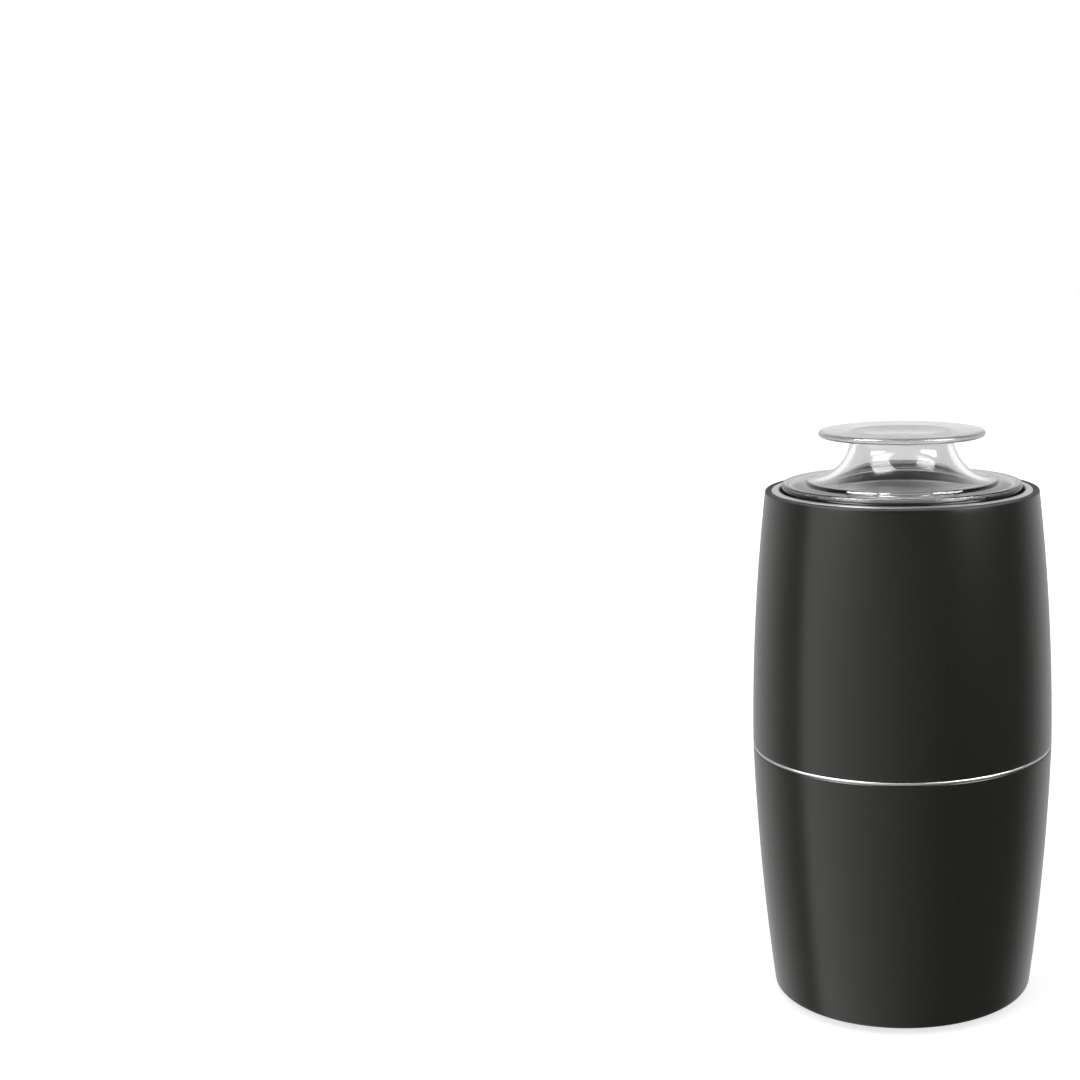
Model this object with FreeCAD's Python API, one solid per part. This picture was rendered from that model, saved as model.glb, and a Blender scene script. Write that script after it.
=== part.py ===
"""Electric spice grinder: a barrel shaped motor base with a clear, mushroom shaped press lid.

Millimetres, +Z up. The origin is the centre of the footprint on the table, and the axis of the
barrel is the Z axis. +Y is the back, where the mains cord goes in.

From the table up: four rubber feet, a vented bottom cover, the lower housing with a series wound
motor hanging from the chassis, a thin bright ring at the seam, the upper housing round the steel
grinding bowl, a satin collar, and the lid. The lid lies on a sprung lift ring. Pressing the disc
on top of the lid sinks the ring by its travel, and the ring's long rod closes a small switch.
"""

import FreeCAD
import Part
import math
import os

# Barrel
foot_drop = 2.0           # the feet stand this far below the housing
lower_height = 82.4       # lower housing, from its underside to the seam
trim_height = 0.9         # bright ring in the seam
upper_height = 83.1       # upper housing, from the ring to the rim
rim_margin = 11.8         # from the inside of the bowl to the outside of the rim
seam_swell = 5.2          # how much wider the barrel is at the seam than at the rim
base_taper = 6.2          # how much narrower it is at the underside than at the seam
lower_bulge = 1.0         # how far the lower side's middle stands out from a straight line
upper_bulge = 1.23        # the same for the upper side
wall = 2.2                # both housings
base_rounding = 3.1       # outer edge of the underside
rim_rounding = 0.45       # outer edge of the rim
seam_rounding = 0.3       # both housings' edges beside the bright ring

# Seam
spigot_wall = 1.7         # lip of the upper housing that centres it in the ring and the base
spigot_depth = 3.4        # how far the lip reaches below the ring
trim_setback = 0.1        # the ring lies this far inside the barrel's outline
fit_gap = 0.15            # between fixed pieces that are pushed together

# Underside
lip_width = 4.2           # edge of the lower housing that is left round the cover
lip_height = 3.0
cover_thick = 2.4
cover_setback = 0.3       # the cover lies this far inside the lip
foot_radius = 6.5
foot_rounding = 0.9       # edge that meets the table
foot_inset = 7.0          # from the edge of the cover's opening to the middle of a foot
foot_angle = 53.0         # feet, in degrees either side of the front and of the back
foot_pocket = 0.8         # depth of the foot's recess in the cover
foot_stem_radius = 2.0
foot_bulb_radius = 2.7
foot_bulb_height = 2.0
vent_count = 18
vent_width = 2.4
vent_inner = 9.0
vent_outer = 21.5
cover_screw_inset = 5.0   # from the edge of the cover's opening
cover_screw_angles = (0.0, 180.0, 270.0)
cover_screw_length = 7.0
post_radius = 3.6
post_cap = 2.0            # end of a post beyond its hole
web_thick = 2.0
screw_radius = 1.5
screw_head_radius = 2.9
screw_head_height = 1.9
recess_width = 0.7        # slots of the screws' cross recess

# Cord inlet, at the back
inlet_height = 18.0       # above the table
inlet_bore = 3.3          # radius, for a round mains lead
inlet_wall = 1.9
inlet_flange = 1.6        # how far the flanges are wider than the bush
inlet_flange_thick = 1.2
inlet_inside = 6.0        # length of the bush behind the housing wall
clamp_gap = 6.0           # from the bush's inner end to the lead clamp
clamp_depth = 6.0         # along the lead
clamp_ear = 4.0           # beyond the bush's radius, for the clamp's screws
clamp_bar = 5.0           # height of the clamp's bar
clamp_bite = 0.4          # how much closer than the lead's radius the clamp closes
clamp_screw_radius = 1.1

# Chassis, which carries the motor below and the bowl above
chassis_thick = 3.0
chassis_gap = 0.4         # to the lip of the upper housing
seam_post_inset = 10.4    # from the outside of the seam
seam_post_angles = (30.0, 150.0, 270.0)
seam_post_length = 17.0
seam_screw_length = 22.0
column_radius = 10.0
thread_radius = 6.0       # top of the column, where the hub nut screws on
thread_length = 6.4
column_bore = 3.3
cradle_radius = 20.0      # wall that carries the bowl's floor
cradle_wall = 1.8
cradle_ribs = 6
rib_thick = 1.6
bearing_seat = 0.6        # upper bearing above the chassis's underside
duct_inner = 26.0         # air ducts through the chassis
duct_outer = 33.0
duct_width = 10.0
duct_rounding = 2.0
duct_angles = (0.0, 60.0, 180.0, 240.0, 300.0)

# Bowl
bowl_radius = 32.0        # inside
bowl_wall = 0.8
bowl_depth = 58.6
bowl_corner = 8.0
bowl_flange = 1.8         # width of the flange beyond the wall
bowl_clearance = 0.3      # to the collar
gasket_thick = 0.8
hub_nut_flats = 18.0
hub_nut_height = 4.0
nut_chamfer = 1.0
thread_gap = 0.05
seal_height = 3.6
seal_radius = 5.0
seal_gap = 0.02
seal_lip = 1.0            # how far the seal's lower side is hollowed
seal_rise = 0.6           # the lip stands this far above the column
gasket_inset = 0.4        # from the edge of the column's shoulder

# Collar
rim_wall = 1.85           # top of the upper housing, outside the collar
ring_width = 2.7          # the satin ring that shows round the lid
ring_thick = 2.0
ring_crown = 0.25         # how far the ring's face stands above the rim
recess_depth = 6.2        # from the rim down to the collar's floor
collar_wall = 1.5
cup_depth = 11.0          # spring cups in the collar's floor
cup_wall = 0.9
cup_angles = (30.0, 150.0, 270.0)

# Lid
lid_gap = 0.7             # ring to lid
lid_stand = 2.2           # the lid stands this far above the rim, and sinks flush when pressed
lid_plate = 2.2           # thickness of the flange
lid_lip = 1.0             # outer lip below the flange
lid_lip_width = 1.9
lid_edge_rounding = 0.7
lid_brim = 7.6            # flat flange outside the step where the flare begins
flare_step = 0.8
flare_land = 0.5          # flat on top of the step
step_bevel = 0.3
flare_radius = 13.8       # hollow of the flare
lid_wall = 2.0
skirt_gap = 0.4           # to the bowl
skirt_wall = 1.4
skirt_depth = 13.0        # below the flange's top
disc_radius = 26.7
disc_thick = 2.0
disc_dish = 0.35          # hollow of the disc's top
disc_border = 1.2         # flat border between the hollow and the round edge
disc_plug = 1.4           # ring under the disc that plugs into the neck
disc_plug_wall = 1.3

# Lift ring and switch
press_travel = 2.2
lift_ring_width = 3.3
lift_ring_thick = 2.4
lift_gap = 0.1            # lid to lift ring
lift_edge_gap = 0.35      # ring to the collar's recess wall
peg_radius = 1.1
peg_length = 8.0
spring_radius = 1.7       # middle of the wire
spring_wire = 0.45
spring_gap = 0.35         # spring to its cup
rod_width = 4.0
rod_thick = 2.2
rod_gap = 0.5             # to its slot and its guides
rod_tip = 1.2             # rounding radius of the rod's lower end
guide_above_switch = 12.0
guide_below_cups = 8.0
switch_length = 19.8
switch_pivot_inset = 1.6  # from the end of the case to the lever's pivot
switch_hole_inset = 5.0   # mounting holes, from the ends of the case
switch_hole_height = 3.2
switch_hole_radius = 1.2
ear_reach = 1.2           # ears round the pivot
ear_thick = 0.8
pin_radius = 0.5
roll_radius = 0.9
lever_play = 0.2          # length of the pin, short of the case's width
switch_width = 6.4
switch_height = 10.2
lever_thick = 0.5
lever_width = 4.2
lever_reach = 9.0         # from the lever's pivot to the rod
lever_tail = 5.5          # beyond the rod
lever_angle = 15.0        # at rest, in degrees
lever_rise = 0.9          # pivot above the switch case
button_reach = 4.6        # from the lever's pivot to the switch button
button_radius = 1.2
button_lift = 1.2         # button above the case at rest
button_root = 1.6         # button inside the case
button_depth = 3.0        # its well
contact_gap = 0.3         # between pieces that meet only when pressed

# Motor
stator_length = 56.0      # along X
stator_width = 46.0       # along Y
stack_height = 22.0
stack_top_drop = 19.5     # from the chassis down to the top of the stack
yoke = 4.6
armature_radius = 15.4
air_gap = 0.6
pole_width = 18.0
pole_shoe = 2.6
pole_angle = 62.0         # half the angle that a pole shoe covers
coil_gap = 0.3            # winding to core
coil_side = 4.3           # width of the winding beside its pole
coil_overhang = 5.5
slot_count = 10
slot_radius = 2.3
slot_circle = 11.6
slot_mouth = 1.4
shaft_radius = 2.5
shaft_step = 0.5          # how much thinner the shaft is where it carries the blade
running_gap = 0.05
commutator_radius = 7.5
commutator_length = 10.0
commutator_bars = 20
winding_overhang = 6.0
winding_radius = 13.6
winding_round = 4.0       # how far the end turns are rounded off
winding_gap = 1.5         # end turns to shaft
riser_height = 2.0        # flange of the commutator, where the wires end
riser_width = 1.2
bar_gap = 0.5             # between commutator bars
bar_depth = 0.6
rotor_gap = 0.4           # winding to commutator
fan_radius = 23.0
fan_blades = 9
fan_height = 7.0
fan_drop = 2.4            # top of the fan below the chassis
fan_thick = 1.2
fan_hub_wall = 3.0
fan_blade_root = 9.6      # radius where the blades begin
bearing_radius = 5.4
bearing_height = 7.0
bearing_floor = 1.2       # thickness below the lower bearing
bracket_gap = 1.5         # bracket to commutator
bracket_boss = 4.5        # how far the bearing's boss stands below the bracket
bracket_thick = 3.0
boss_wall = 2.4
boss_gap = 0.6            # shaft to the hole in the boss
window_half = 9.0         # openings in the bracket, for the air
window_near = 12.0
window_far = 17.0
stack_rounding = 6.0      # corners of the stack and the bracket
bracket_post_radius = 3.2
bolt_x = 23.0
bolt_y = 18.0
bolt_radius = 1.7
bolt_head_flats = 6.0
bolt_head_height = 2.4
bolt_short = 2.0          # end of a bolt below the chassis's plate
brush_width = 5.0
brush_height = 6.0
brush_length = 9.0
holder_wall = 1.2
holder_length = 12.0
holder_gap = 2.4          # commutator to holder
brush_spring_radius = 1.8
brush_spring_bore = 1.3
brush_spring_gap = 0.1

# Blade
blade_height = 7.6        # above the bowl's floor
blade_thick = 1.5
blade_hub_radius = 6.0
blade_radius = 27.0
blade_root_width = 11.0
blade_tip_width = 7.0
blade_bend_radius = 13.0  # where each wing starts to bend
blade_up_angle = 24.0
blade_down_angle = 13.0
blade_bevel = 0.9         # how far the cutting edge is ground back
blade_edge = 0.3          # share of the thickness that lies below the cutting edge
blade_slant = 2.1         # how far the tip is cut back at its leading side
blade_nut_flats = 9.0
blade_nut_height = 4.0
nut_dome = 1.2
blade_spacer_radius = 4.2
spacer_gap = 0.9          # column to the shaft's shoulder under the blade
shaft_stub = 0.5          # the shaft stands this far out below the lower bearing's boss

# Barrel, worked out from the bowl that it has to hold
rim_radius = bowl_radius + rim_margin
seam_radius = rim_radius + seam_swell
base_radius = seam_radius - base_taper
lip_radius = base_radius - lip_width
foot_circle = lip_radius - foot_inset
cover_screw_circle = lip_radius - cover_screw_inset
seam_post_circle = seam_radius - seam_post_inset

# Heights above the table, worked out from the sizes above
base_z = foot_drop
seam_z = base_z + lower_height
upper_z = seam_z + trim_height
rim_z = upper_z + upper_height
lid_top_z = rim_z + lid_stand
lid_plate_z = lid_top_z - lid_plate
lid_lip_z = lid_plate_z - lid_lip
flare_z = lid_top_z + flare_step
neck_z = flare_z + flare_radius
recess_z = rim_z - recess_depth
lift_top_z = lid_lip_z - lift_gap
lift_bottom_z = lift_top_z - lift_ring_thick
cup_floor_z = recess_z - cup_depth
bowl_rim_z = recess_z + bowl_wall
bowl_floor_z = bowl_rim_z - bowl_depth
bowl_under_z = bowl_floor_z - bowl_wall
cover_z = base_z + cover_setback
cover_top_z = cover_z + cover_thick
cover_head_z = cover_z + screw_head_height * 0.8
chassis_top_z = seam_z - spigot_depth
chassis_z = chassis_top_z - chassis_thick
seam_screw_z = chassis_z - seam_post_length
column_top_z = bowl_floor_z + thread_length - bowl_wall
gasket_z = bowl_under_z - gasket_thick
stack_top_z = chassis_z - stack_top_drop
stack_z = stack_top_z - stack_height
fan_top_z = chassis_z - fan_drop
commutator_z = stack_z - winding_overhang - rotor_gap - commutator_length
bracket_top_z = commutator_z - bracket_gap
bracket_z = bracket_top_z - bracket_thick
brush_z = commutator_z + commutator_length / 2
blade_z = bowl_floor_z + blade_height
blade_top_z = blade_z + blade_thick
shaft_top_z = blade_top_z + blade_nut_height * 0.8
switch_top_z = chassis_top_z + switch_height
pivot_z = switch_top_z + lever_rise
pivot_x = -lever_reach

# Radii worked out from the sizes above
bush_radius = inlet_bore + inlet_wall
collar_outer = rim_radius - rim_wall - fit_gap
recess_radius = rim_radius - rim_wall - fit_gap - ring_width
lid_radius = recess_radius - lid_gap
bowl_outer = bowl_radius + bowl_wall
skirt_outer = bowl_radius - skirt_gap
skirt_inner = skirt_outer - skirt_wall
flare_foot = lid_radius - lid_brim
flare_centre = flare_foot - flare_land
neck_radius = flare_centre - flare_radius
neck_inner = neck_radius - lid_wall
lift_outer = recess_radius - lift_edge_gap
lift_inner = lift_outer - lift_ring_width
peg_circle = (recess_radius + bowl_outer + bowl_flange) / 2
rod_circle = peg_circle
cup_radius = spring_radius + spring_wire / 2 + spring_gap
blade_bore = shaft_radius - shaft_step
chassis_radius = seam_radius - wall - fit_gap - spigot_wall - chassis_gap
bore_radius = armature_radius + air_gap
bearing_cup = bearing_radius + fit_gap

OVER = 1.0                # how far a cut runs past the face that it opens
AXIS = FreeCAD.Vector(0, 0, 1)
ORIGIN = FreeCAD.Vector(0, 0, 0)


def vec(x, y, z):
    return FreeCAD.Vector(x, y, z)


class Outline:
    """A closed outline of radius against height, which is turned round the Z axis."""

    def __init__(self, radius, height):
        self.start = self.at = vec(radius, 0, height)
        self.edges = []

    def line(self, radius, height):
        end = vec(radius, 0, height)
        self.edges.append(Part.makeLine(self.at, end))
        self.at = end
        return self

    def arc(self, middle, end):
        through, last = vec(middle[0], 0, middle[1]), vec(end[0], 0, end[1])
        self.edges.append(Part.Arc(self.at, through, last).toShape())
        self.at = last
        return self

    def corner(self, centre, radius, first, last):
        """An arc about a centre, from one angle in degrees to another."""
        points = []
        for angle in ((first + last) / 2, last):
            turn = math.radians(angle)
            points.append((centre[0] + radius * math.cos(turn), centre[1] + radius * math.sin(turn)))
        return self.arc(*points)

    def dome(self, height):
        """Ends the outline on the axis at a height, with part of a ball's section."""
        rise = height - self.at.z
        ball = (self.at.x**2 + rise**2) / (2 * rise)
        half = math.asin(self.at.x / ball) / 2
        return self.arc((ball * math.sin(half), height - ball + ball * math.cos(half)), (0, height))

    def lathe(self):
        if self.at.distanceToPoint(self.start) > 1e-6:
            self.edges.append(Part.makeLine(self.at, self.start))
        face = Part.Face(Part.Wire(self.edges))
        return solid(face.revolve(ORIGIN, AXIS, 360))


def solid(shape):
    """The one solid in a shape, with its faces pointing outwards."""
    found = shape.Solids[0] if shape.Solids else Part.makeSolid(shape)
    if found.Volume < 0:
        found.reverse()
    return found


def ring(inner, outer, low, high):
    return Outline(inner, low).line(outer, low).line(outer, high).line(inner, high).lathe()


def rod(radius, low, high, x=0.0, y=0.0):
    return Part.makeCylinder(radius, high - low, vec(x, y, low))


def block(x0, x1, y0, y1, z0, z1):
    return Part.makeBox(x1 - x0, y1 - y0, z1 - z0, vec(x0, y0, z0))


def prism(points, low, high):
    """A straight sided solid on a flat outline of (x, y) points."""
    corners = [vec(x, y, low) for x, y in points]
    face = Part.Face(Part.makePolygon(corners + corners[:1]))
    return solid(face.extrude(vec(0, 0, high - low)))


def hexagon(flats, low, high):
    radius = flats / math.sqrt(3)
    turns = [math.radians(60 * n) for n in range(6)]
    return prism([(radius * math.cos(t), radius * math.sin(t)) for t in turns], low, high)


def turned(shape, angle):
    """A copy of a shape, turned about the Z axis by an angle in degrees."""
    copy = shape.copy()
    copy.rotate(ORIGIN, AXIS, angle)
    return copy


def around(shape, angles):
    return [turned(shape, angle) for angle in angles]


def even(count, first=0.0):
    return [first + 360.0 * n / count for n in range(count)]


def joined(first, *others):
    shape = first.fuse(list(others)) if others else first
    return shape.removeSplitter()


def circle_through(a, b, c):
    """Centre and radius of the circle through three (radius, height) points."""
    ax, ay, bx, by = b[0] - a[0], b[1] - a[1], c[0] - a[0], c[1] - a[1]
    d = 2 * (ax * by - ay * bx)
    ux = (by * (ax * ax + ay * ay) - ay * (bx * bx + by * by)) / d
    uy = (ax * (bx * bx + by * by) - bx * (ax * ax + ay * ay)) / d
    return (a[0] + ux, a[1] + uy), math.hypot(ux, uy)


class Side:
    """The barrelled side of a housing, between two radii at two heights."""

    def __init__(self, low, high, bulge):
        middle = ((low[0] + high[0]) / 2 + bulge, (low[1] + high[1]) / 2)
        self.centre, self.bend = circle_through(low, middle, high)

    def radius(self, height):
        return self.centre[0] + math.sqrt(self.bend**2 - (height - self.centre[1]) ** 2)

    def run(self, outline, end, inset=0.0):
        """Draws the side from where the outline is to another height, this far inside."""
        middle = (outline.at.z + end) / 2
        return outline.arc((self.radius(middle) - inset, middle), (self.radius(end) - inset, end))

    def filled(self, low, high, inset):
        """The solid inside the side, for trimming ribs and posts."""
        outline = Outline(0, low).line(self.radius(low) - inset, low)
        return self.run(outline, high, inset).line(0, high).lathe()


lower_side = Side((base_radius, base_z), (seam_radius, seam_z), lower_bulge)
upper_side = Side((seam_radius, upper_z), (rim_radius, rim_z), upper_bulge)


def post_with_web(side, circle, angle, low, high):
    """A screw post that a web ties to the wall of a housing."""
    post = rod(post_radius, low, high, circle, 0)
    web = block(circle, seam_radius, -web_thick / 2, web_thick / 2, low, high)
    return turned(post.fuse(web), angle).common(side.filled(low, high, wall / 2))


def screw(length, head_z, circle, angle):
    """A pan head screw that points up, with a cross recess in the head below."""
    low = head_z - screw_head_height
    tip = head_z + length
    half = screw_head_radius * 0.55
    body = Outline(0, low).line(screw_head_radius * 0.7, low)
    body.arc((screw_head_radius * 0.93, low + screw_head_height * 0.25), (screw_head_radius, head_z))
    body.line(screw_radius, head_z).line(screw_radius, tip - screw_radius).line(0, tip)
    made = body.lathe()
    for a, b in ((half, recess_width / 2), (recess_width / 2, half)):
        made = made.cut(block(-a, a, -b, b, low - OVER, low + screw_head_height / 2))
    made.translate(vec(circle, 0, 0))
    return turned(made, angle)


def lower_housing():
    floor_z = base_z + lip_height
    outline = Outline(lip_radius, base_z).line(base_radius, base_z)
    lower_side.run(outline, seam_z)
    outline.line(seam_radius - wall, seam_z)
    lower_side.run(outline, floor_z, wall)
    shell = outline.line(lip_radius, floor_z).lathe()
    shell = rounded(shell, base_radius, base_z, base_rounding)
    shell = rounded(shell, seam_radius, seam_z, seam_rounding)
    hole_top = cover_top_z + cover_screw_length
    posts = [
        post_with_web(lower_side, cover_screw_circle, a, cover_top_z, hole_top + post_cap)
        for a in cover_screw_angles
    ]
    for a in seam_post_angles:
        posts.append(post_with_web(lower_side, seam_post_circle, a, seam_screw_z, chassis_z))
    holes = around(rod(screw_radius, cover_top_z - OVER, hole_top, cover_screw_circle, 0), cover_screw_angles)
    through = rod(screw_radius + fit_gap, seam_screw_z - OVER, chassis_z + OVER, seam_post_circle, 0)
    holes += around(through, seam_post_angles)
    holes.append(along_y(rod(bush_radius + fit_gap, lip_radius - wall, seam_radius)))
    return joined(shell, *posts).cut(holes)


def rounded(shape, radius, height, rounding):
    """The shape with its circular edge of that radius and height rounded."""
    edges = []
    for edge in shape.Edges:
        box = edge.BoundBox
        if max(abs(box.XMax - radius), abs(box.ZMin - height), abs(box.ZMax - height)) < 1e-3:
            edges.append(edge)
    return shape.makeFillet(rounding, edges)


def along_y(shape):
    """Lays an upright shape along +Y, at the height of the cord inlet."""
    laid = shape.copy()
    laid.rotate(ORIGIN, vec(1, 0, 0), -90)
    laid.translate(vec(0, 0, inlet_height))
    return laid


def upper_housing():
    seat_z = rim_z - ring_thick
    seat_radius = collar_outer + fit_gap
    ledge_radius = recess_radius + collar_wall + fit_gap
    ledge_z = recess_z - collar_wall
    spigot_outer = seam_radius - wall - fit_gap
    spigot_inner = spigot_outer - spigot_wall
    outline = Outline(seam_radius, upper_z)
    upper_side.run(outline, rim_z)
    outline.line(seat_radius, rim_z).line(seat_radius, seat_z).line(ledge_radius, seat_z)
    outline.line(ledge_radius, ledge_z)
    slope_z = ledge_z - (upper_side.radius(ledge_z) - wall - ledge_radius)
    outline.line(upper_side.radius(slope_z) - wall, slope_z)
    upper_side.run(outline, upper_z + spigot_depth, wall)
    outline.line(spigot_inner, upper_z + spigot_depth).line(spigot_inner, seam_z - spigot_depth)
    outline.line(spigot_outer, seam_z - spigot_depth).line(spigot_outer, upper_z)
    shell = rounded(outline.lathe(), rim_radius, rim_z, rim_rounding)
    shell = rounded(shell, seam_radius, upper_z, seam_rounding)
    post_top = chassis_top_z + seam_post_length
    inside = rod(spigot_inner + spigot_wall / 2, chassis_top_z, upper_z)
    inside = joined(inside, upper_side.filled(upper_z, rim_z, wall / 2))
    post = rod(post_radius, chassis_top_z, post_top, seam_post_circle, 0)
    half = web_thick / 2
    post = post.fuse(block(seam_post_circle, seam_radius, -half, half, chassis_top_z, post_top))
    extras = [turned(post, angle).common(inside) for angle in seam_post_angles]
    extras += [rod_guide(side) for side in (-1, 1)]
    hole_top = seam_screw_z + seam_screw_length + OVER
    hole = rod(screw_radius, chassis_top_z - OVER, hole_top, seam_post_circle, 0)
    return joined(shell, *extras).cut(around(hole, seam_post_angles))


def rod_guide(side):
    """One of two ribs inside the upper housing, between which the lift ring's rod slides."""
    near = rod_width / 2 + rod_gap
    low, high = switch_top_z + guide_above_switch, cup_floor_z - guide_below_cups
    rib = block(near, near + rib_thick, rod_circle - rod_thick, seam_radius, low, high)
    if side < 0:
        rib = rib.mirror(ORIGIN, vec(1, 0, 0))
    return rib.common(upper_side.filled(low, high, wall / 2))


def trim_ring():
    """Thin bright ring with a rounded outer face, clamped in the seam."""
    inner = seam_radius - wall
    outer = seam_radius - trim_setback
    edge = outer - trim_height * 0.25
    outline = Outline(inner, seam_z).line(edge, seam_z)
    outline.arc((outer, seam_z + trim_height / 2), (edge, upper_z)).line(inner, upper_z)
    return outline.lathe()


def foot_places():
    """Angle of each foot about the axis, with the front at -90 degrees."""
    return [-90 - foot_angle, -90 + foot_angle, 90 - foot_angle, 90 + foot_angle]


def bottom_cover():
    """Round cover with a ring of vent slots, recesses for the feet and sunk screw holes."""
    low, high = cover_z - OVER, cover_top_z + OVER
    plate = rod(lip_radius - fit_gap, cover_z, cover_top_z)
    groove = ring(vent_outer + vent_width, vent_outer + vent_width * 1.5, low, cover_z + cover_thick / 4)
    slot = block(vent_inner, vent_outer, -vent_width / 2, vent_width / 2, low, high)
    slot = joined(slot, *[rod(vent_width / 2, low, high, end, 0) for end in (vent_inner, vent_outer)])
    pocket = rod(foot_radius + fit_gap, low, cover_z + foot_pocket, foot_circle, 0)
    pocket = pocket.fuse(rod(foot_stem_radius + fit_gap / 2, low, high, foot_circle, 0))
    hole = rod(screw_radius + fit_gap, low, high, cover_screw_circle, 0)
    hole = hole.fuse(rod(screw_head_radius + fit_gap, low, cover_head_z, cover_screw_circle, 0))
    cuts = around(slot, even(vent_count)) + around(pocket, foot_places()) + around(hole, cover_screw_angles)
    return plate.cut([groove] + cuts)


def foot(angle):
    """Rubber foot: a pad that sits in the cover, with a stem and a bulb that holds it there."""
    seat = cover_z + foot_pocket
    edge = foot_radius - foot_rounding
    catch = cover_top_z + fit_gap
    top = catch + foot_bulb_height
    outline = Outline(0, 0).line(edge, 0).corner((edge, foot_rounding), foot_rounding, -90, 0)
    outline.line(foot_radius, seat).line(foot_stem_radius, seat).line(foot_stem_radius, catch)
    outline.line(foot_bulb_radius, catch).line(foot_stem_radius * 0.7, top).line(0, top)
    shape = outline.lathe()
    shape.translate(vec(foot_circle, 0, 0))
    return turned(shape, angle)


def cord_gland():
    """Rubber bush in the back of the lower housing, with a flange on each side of its wall."""
    face = lower_side.radius(inlet_height)
    low, high = inlet_height - bush_radius * 2, inlet_height + bush_radius * 2
    outside = lower_side.filled(low, high, 0)
    inside = lower_side.filled(low, high, wall)
    reach = bush_radius + inlet_flange
    end = face + inlet_flange_thick
    bevel = inlet_flange_thick / 2
    sleeve = Outline(inlet_bore, face - wall - inlet_inside).line(bush_radius, face - wall - inlet_inside)
    sleeve.line(bush_radius, end).line(inlet_bore + bevel, end).line(inlet_bore, end - bevel)
    outer = Outline(inlet_bore + bevel, face - wall).line(reach, face - wall).line(reach, end - bevel)
    outer = outer.line(reach - bevel, end).line(inlet_bore + bevel, end).lathe()
    inner = ring(inlet_bore + bevel, reach, face - wall - inlet_flange_thick, face)
    return joined(along_y(sleeve.lathe()), along_y(outer).cut(outside), along_y(inner).common(inside))


def cord_clamp():
    """Saddle that stands on the bottom cover, and the bar that clamps the lead down on it."""
    middle = lower_side.radius(inlet_height) - wall - inlet_inside - clamp_gap
    near, far = middle - clamp_depth / 2, middle + clamp_depth / 2
    reach = bush_radius + clamp_ear
    seat_z = inlet_height - clamp_bite
    saddle = block(-reach, reach, near, far, cover_top_z, seat_z)
    bar_top = inlet_height + clamp_bar
    bar = block(-reach, reach, near, far, inlet_height, bar_top)
    hole = rod(clamp_screw_radius, seat_z - clamp_bar, bar_top + OVER, reach - clamp_ear / 2, middle)
    cuts = [along_y(rod(inlet_bore, near - OVER, far + OVER)), hole, hole.mirror(ORIGIN, vec(1, 0, 0))]
    return [saddle.cut(cuts), bar.cut(cuts)]


def chassis():
    """Plate clamped in the seam, with the column, the cradle for the bowl and the motor posts."""
    low, high = chassis_z - OVER, chassis_top_z + OVER
    cup_z = chassis_z + bearing_seat + bearing_height
    plate = rod(chassis_radius, chassis_z, chassis_top_z).cut(rod(column_radius - OVER, low, high))
    column = Outline(bearing_cup, chassis_z).line(column_radius, chassis_z).line(column_radius, gasket_z)
    column.line(thread_radius, gasket_z).line(thread_radius, column_top_z)
    column.line(seal_radius, column_top_z).line(seal_radius, column_top_z - seal_height)
    column.line(column_bore, column_top_z - seal_height)
    column.line(column_bore, cup_z).line(bearing_cup, cup_z)
    cradle = ring(cradle_radius - cradle_wall, cradle_radius, chassis_top_z - OVER, bowl_under_z)
    reach, half = cradle_radius - cradle_wall / 2, rib_thick / 2
    rib = block(column_radius - OVER, reach, -half, half, chassis_top_z - OVER, gasket_z)
    posts = [rod(bracket_post_radius, stack_top_z, chassis_z + OVER, x, y) for x, y in leg_places()]
    body = joined(plate, column.lathe(), cradle, *around(rib, even(cradle_ribs, 30)), *posts)
    cuts = around(rod(screw_radius + fit_gap, low, high, seam_post_circle, 0), seam_post_angles)
    cuts += [rod(bolt_radius, stack_top_z - OVER, chassis_z, x, y) for x, y in bolt_places()]
    vent = block(duct_inner, duct_outer, -duct_width / 2, duct_width / 2, low, high)
    vent = vent.makeFillet(duct_rounding, [e for e in vent.Edges if e.BoundBox.ZLength > OVER])
    return body.cut(cuts + around(vent, duct_angles))


def leg_places():
    """Centres of the four posts that the motor hangs on."""
    return [(x * bolt_x, y * bolt_y) for x in (-1, 1) for y in (-1, 1)]


def bolt_places():
    """The two of those posts, across a corner, that take a bolt."""
    return [(-bolt_x, bolt_y), (bolt_x, -bolt_y)]


def collar():
    """Satin ring round the lid, with the recess for the lift ring and its spring cups."""
    floor_outer = recess_radius + collar_wall
    floor_inner = bowl_outer + bowl_clearance
    floor_z = recess_z - collar_wall
    edge = ring_crown
    outline = Outline(floor_inner, recess_z).line(recess_radius, recess_z).line(recess_radius, rim_z - edge)
    outline.line(recess_radius + edge, rim_z)
    outline.arc(((recess_radius + collar_outer) / 2, rim_z + ring_crown), (collar_outer - edge, rim_z))
    outline.line(collar_outer, rim_z - edge).line(collar_outer, rim_z - ring_thick)
    outline.line(floor_outer, rim_z - ring_thick).line(floor_outer, floor_z).line(floor_inner, floor_z)
    cup = rod(cup_radius + cup_wall, cup_floor_z - cup_wall, recess_z - collar_wall / 2, peg_circle, 0)
    body = joined(outline.lathe(), *around(cup, cup_angles))
    well = rod(cup_radius, cup_floor_z, recess_z + OVER, peg_circle, 0)
    well = well.cut(ring(recess_radius, seam_radius, recess_z, rim_z))
    x, y = rod_width / 2 + rod_gap, rod_thick / 2 + rod_gap
    slot = block(-x, x, rod_circle - y, rod_circle + y, floor_z - OVER, recess_z + OVER)
    return body.cut(around(well, cup_angles) + [slot])


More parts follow.
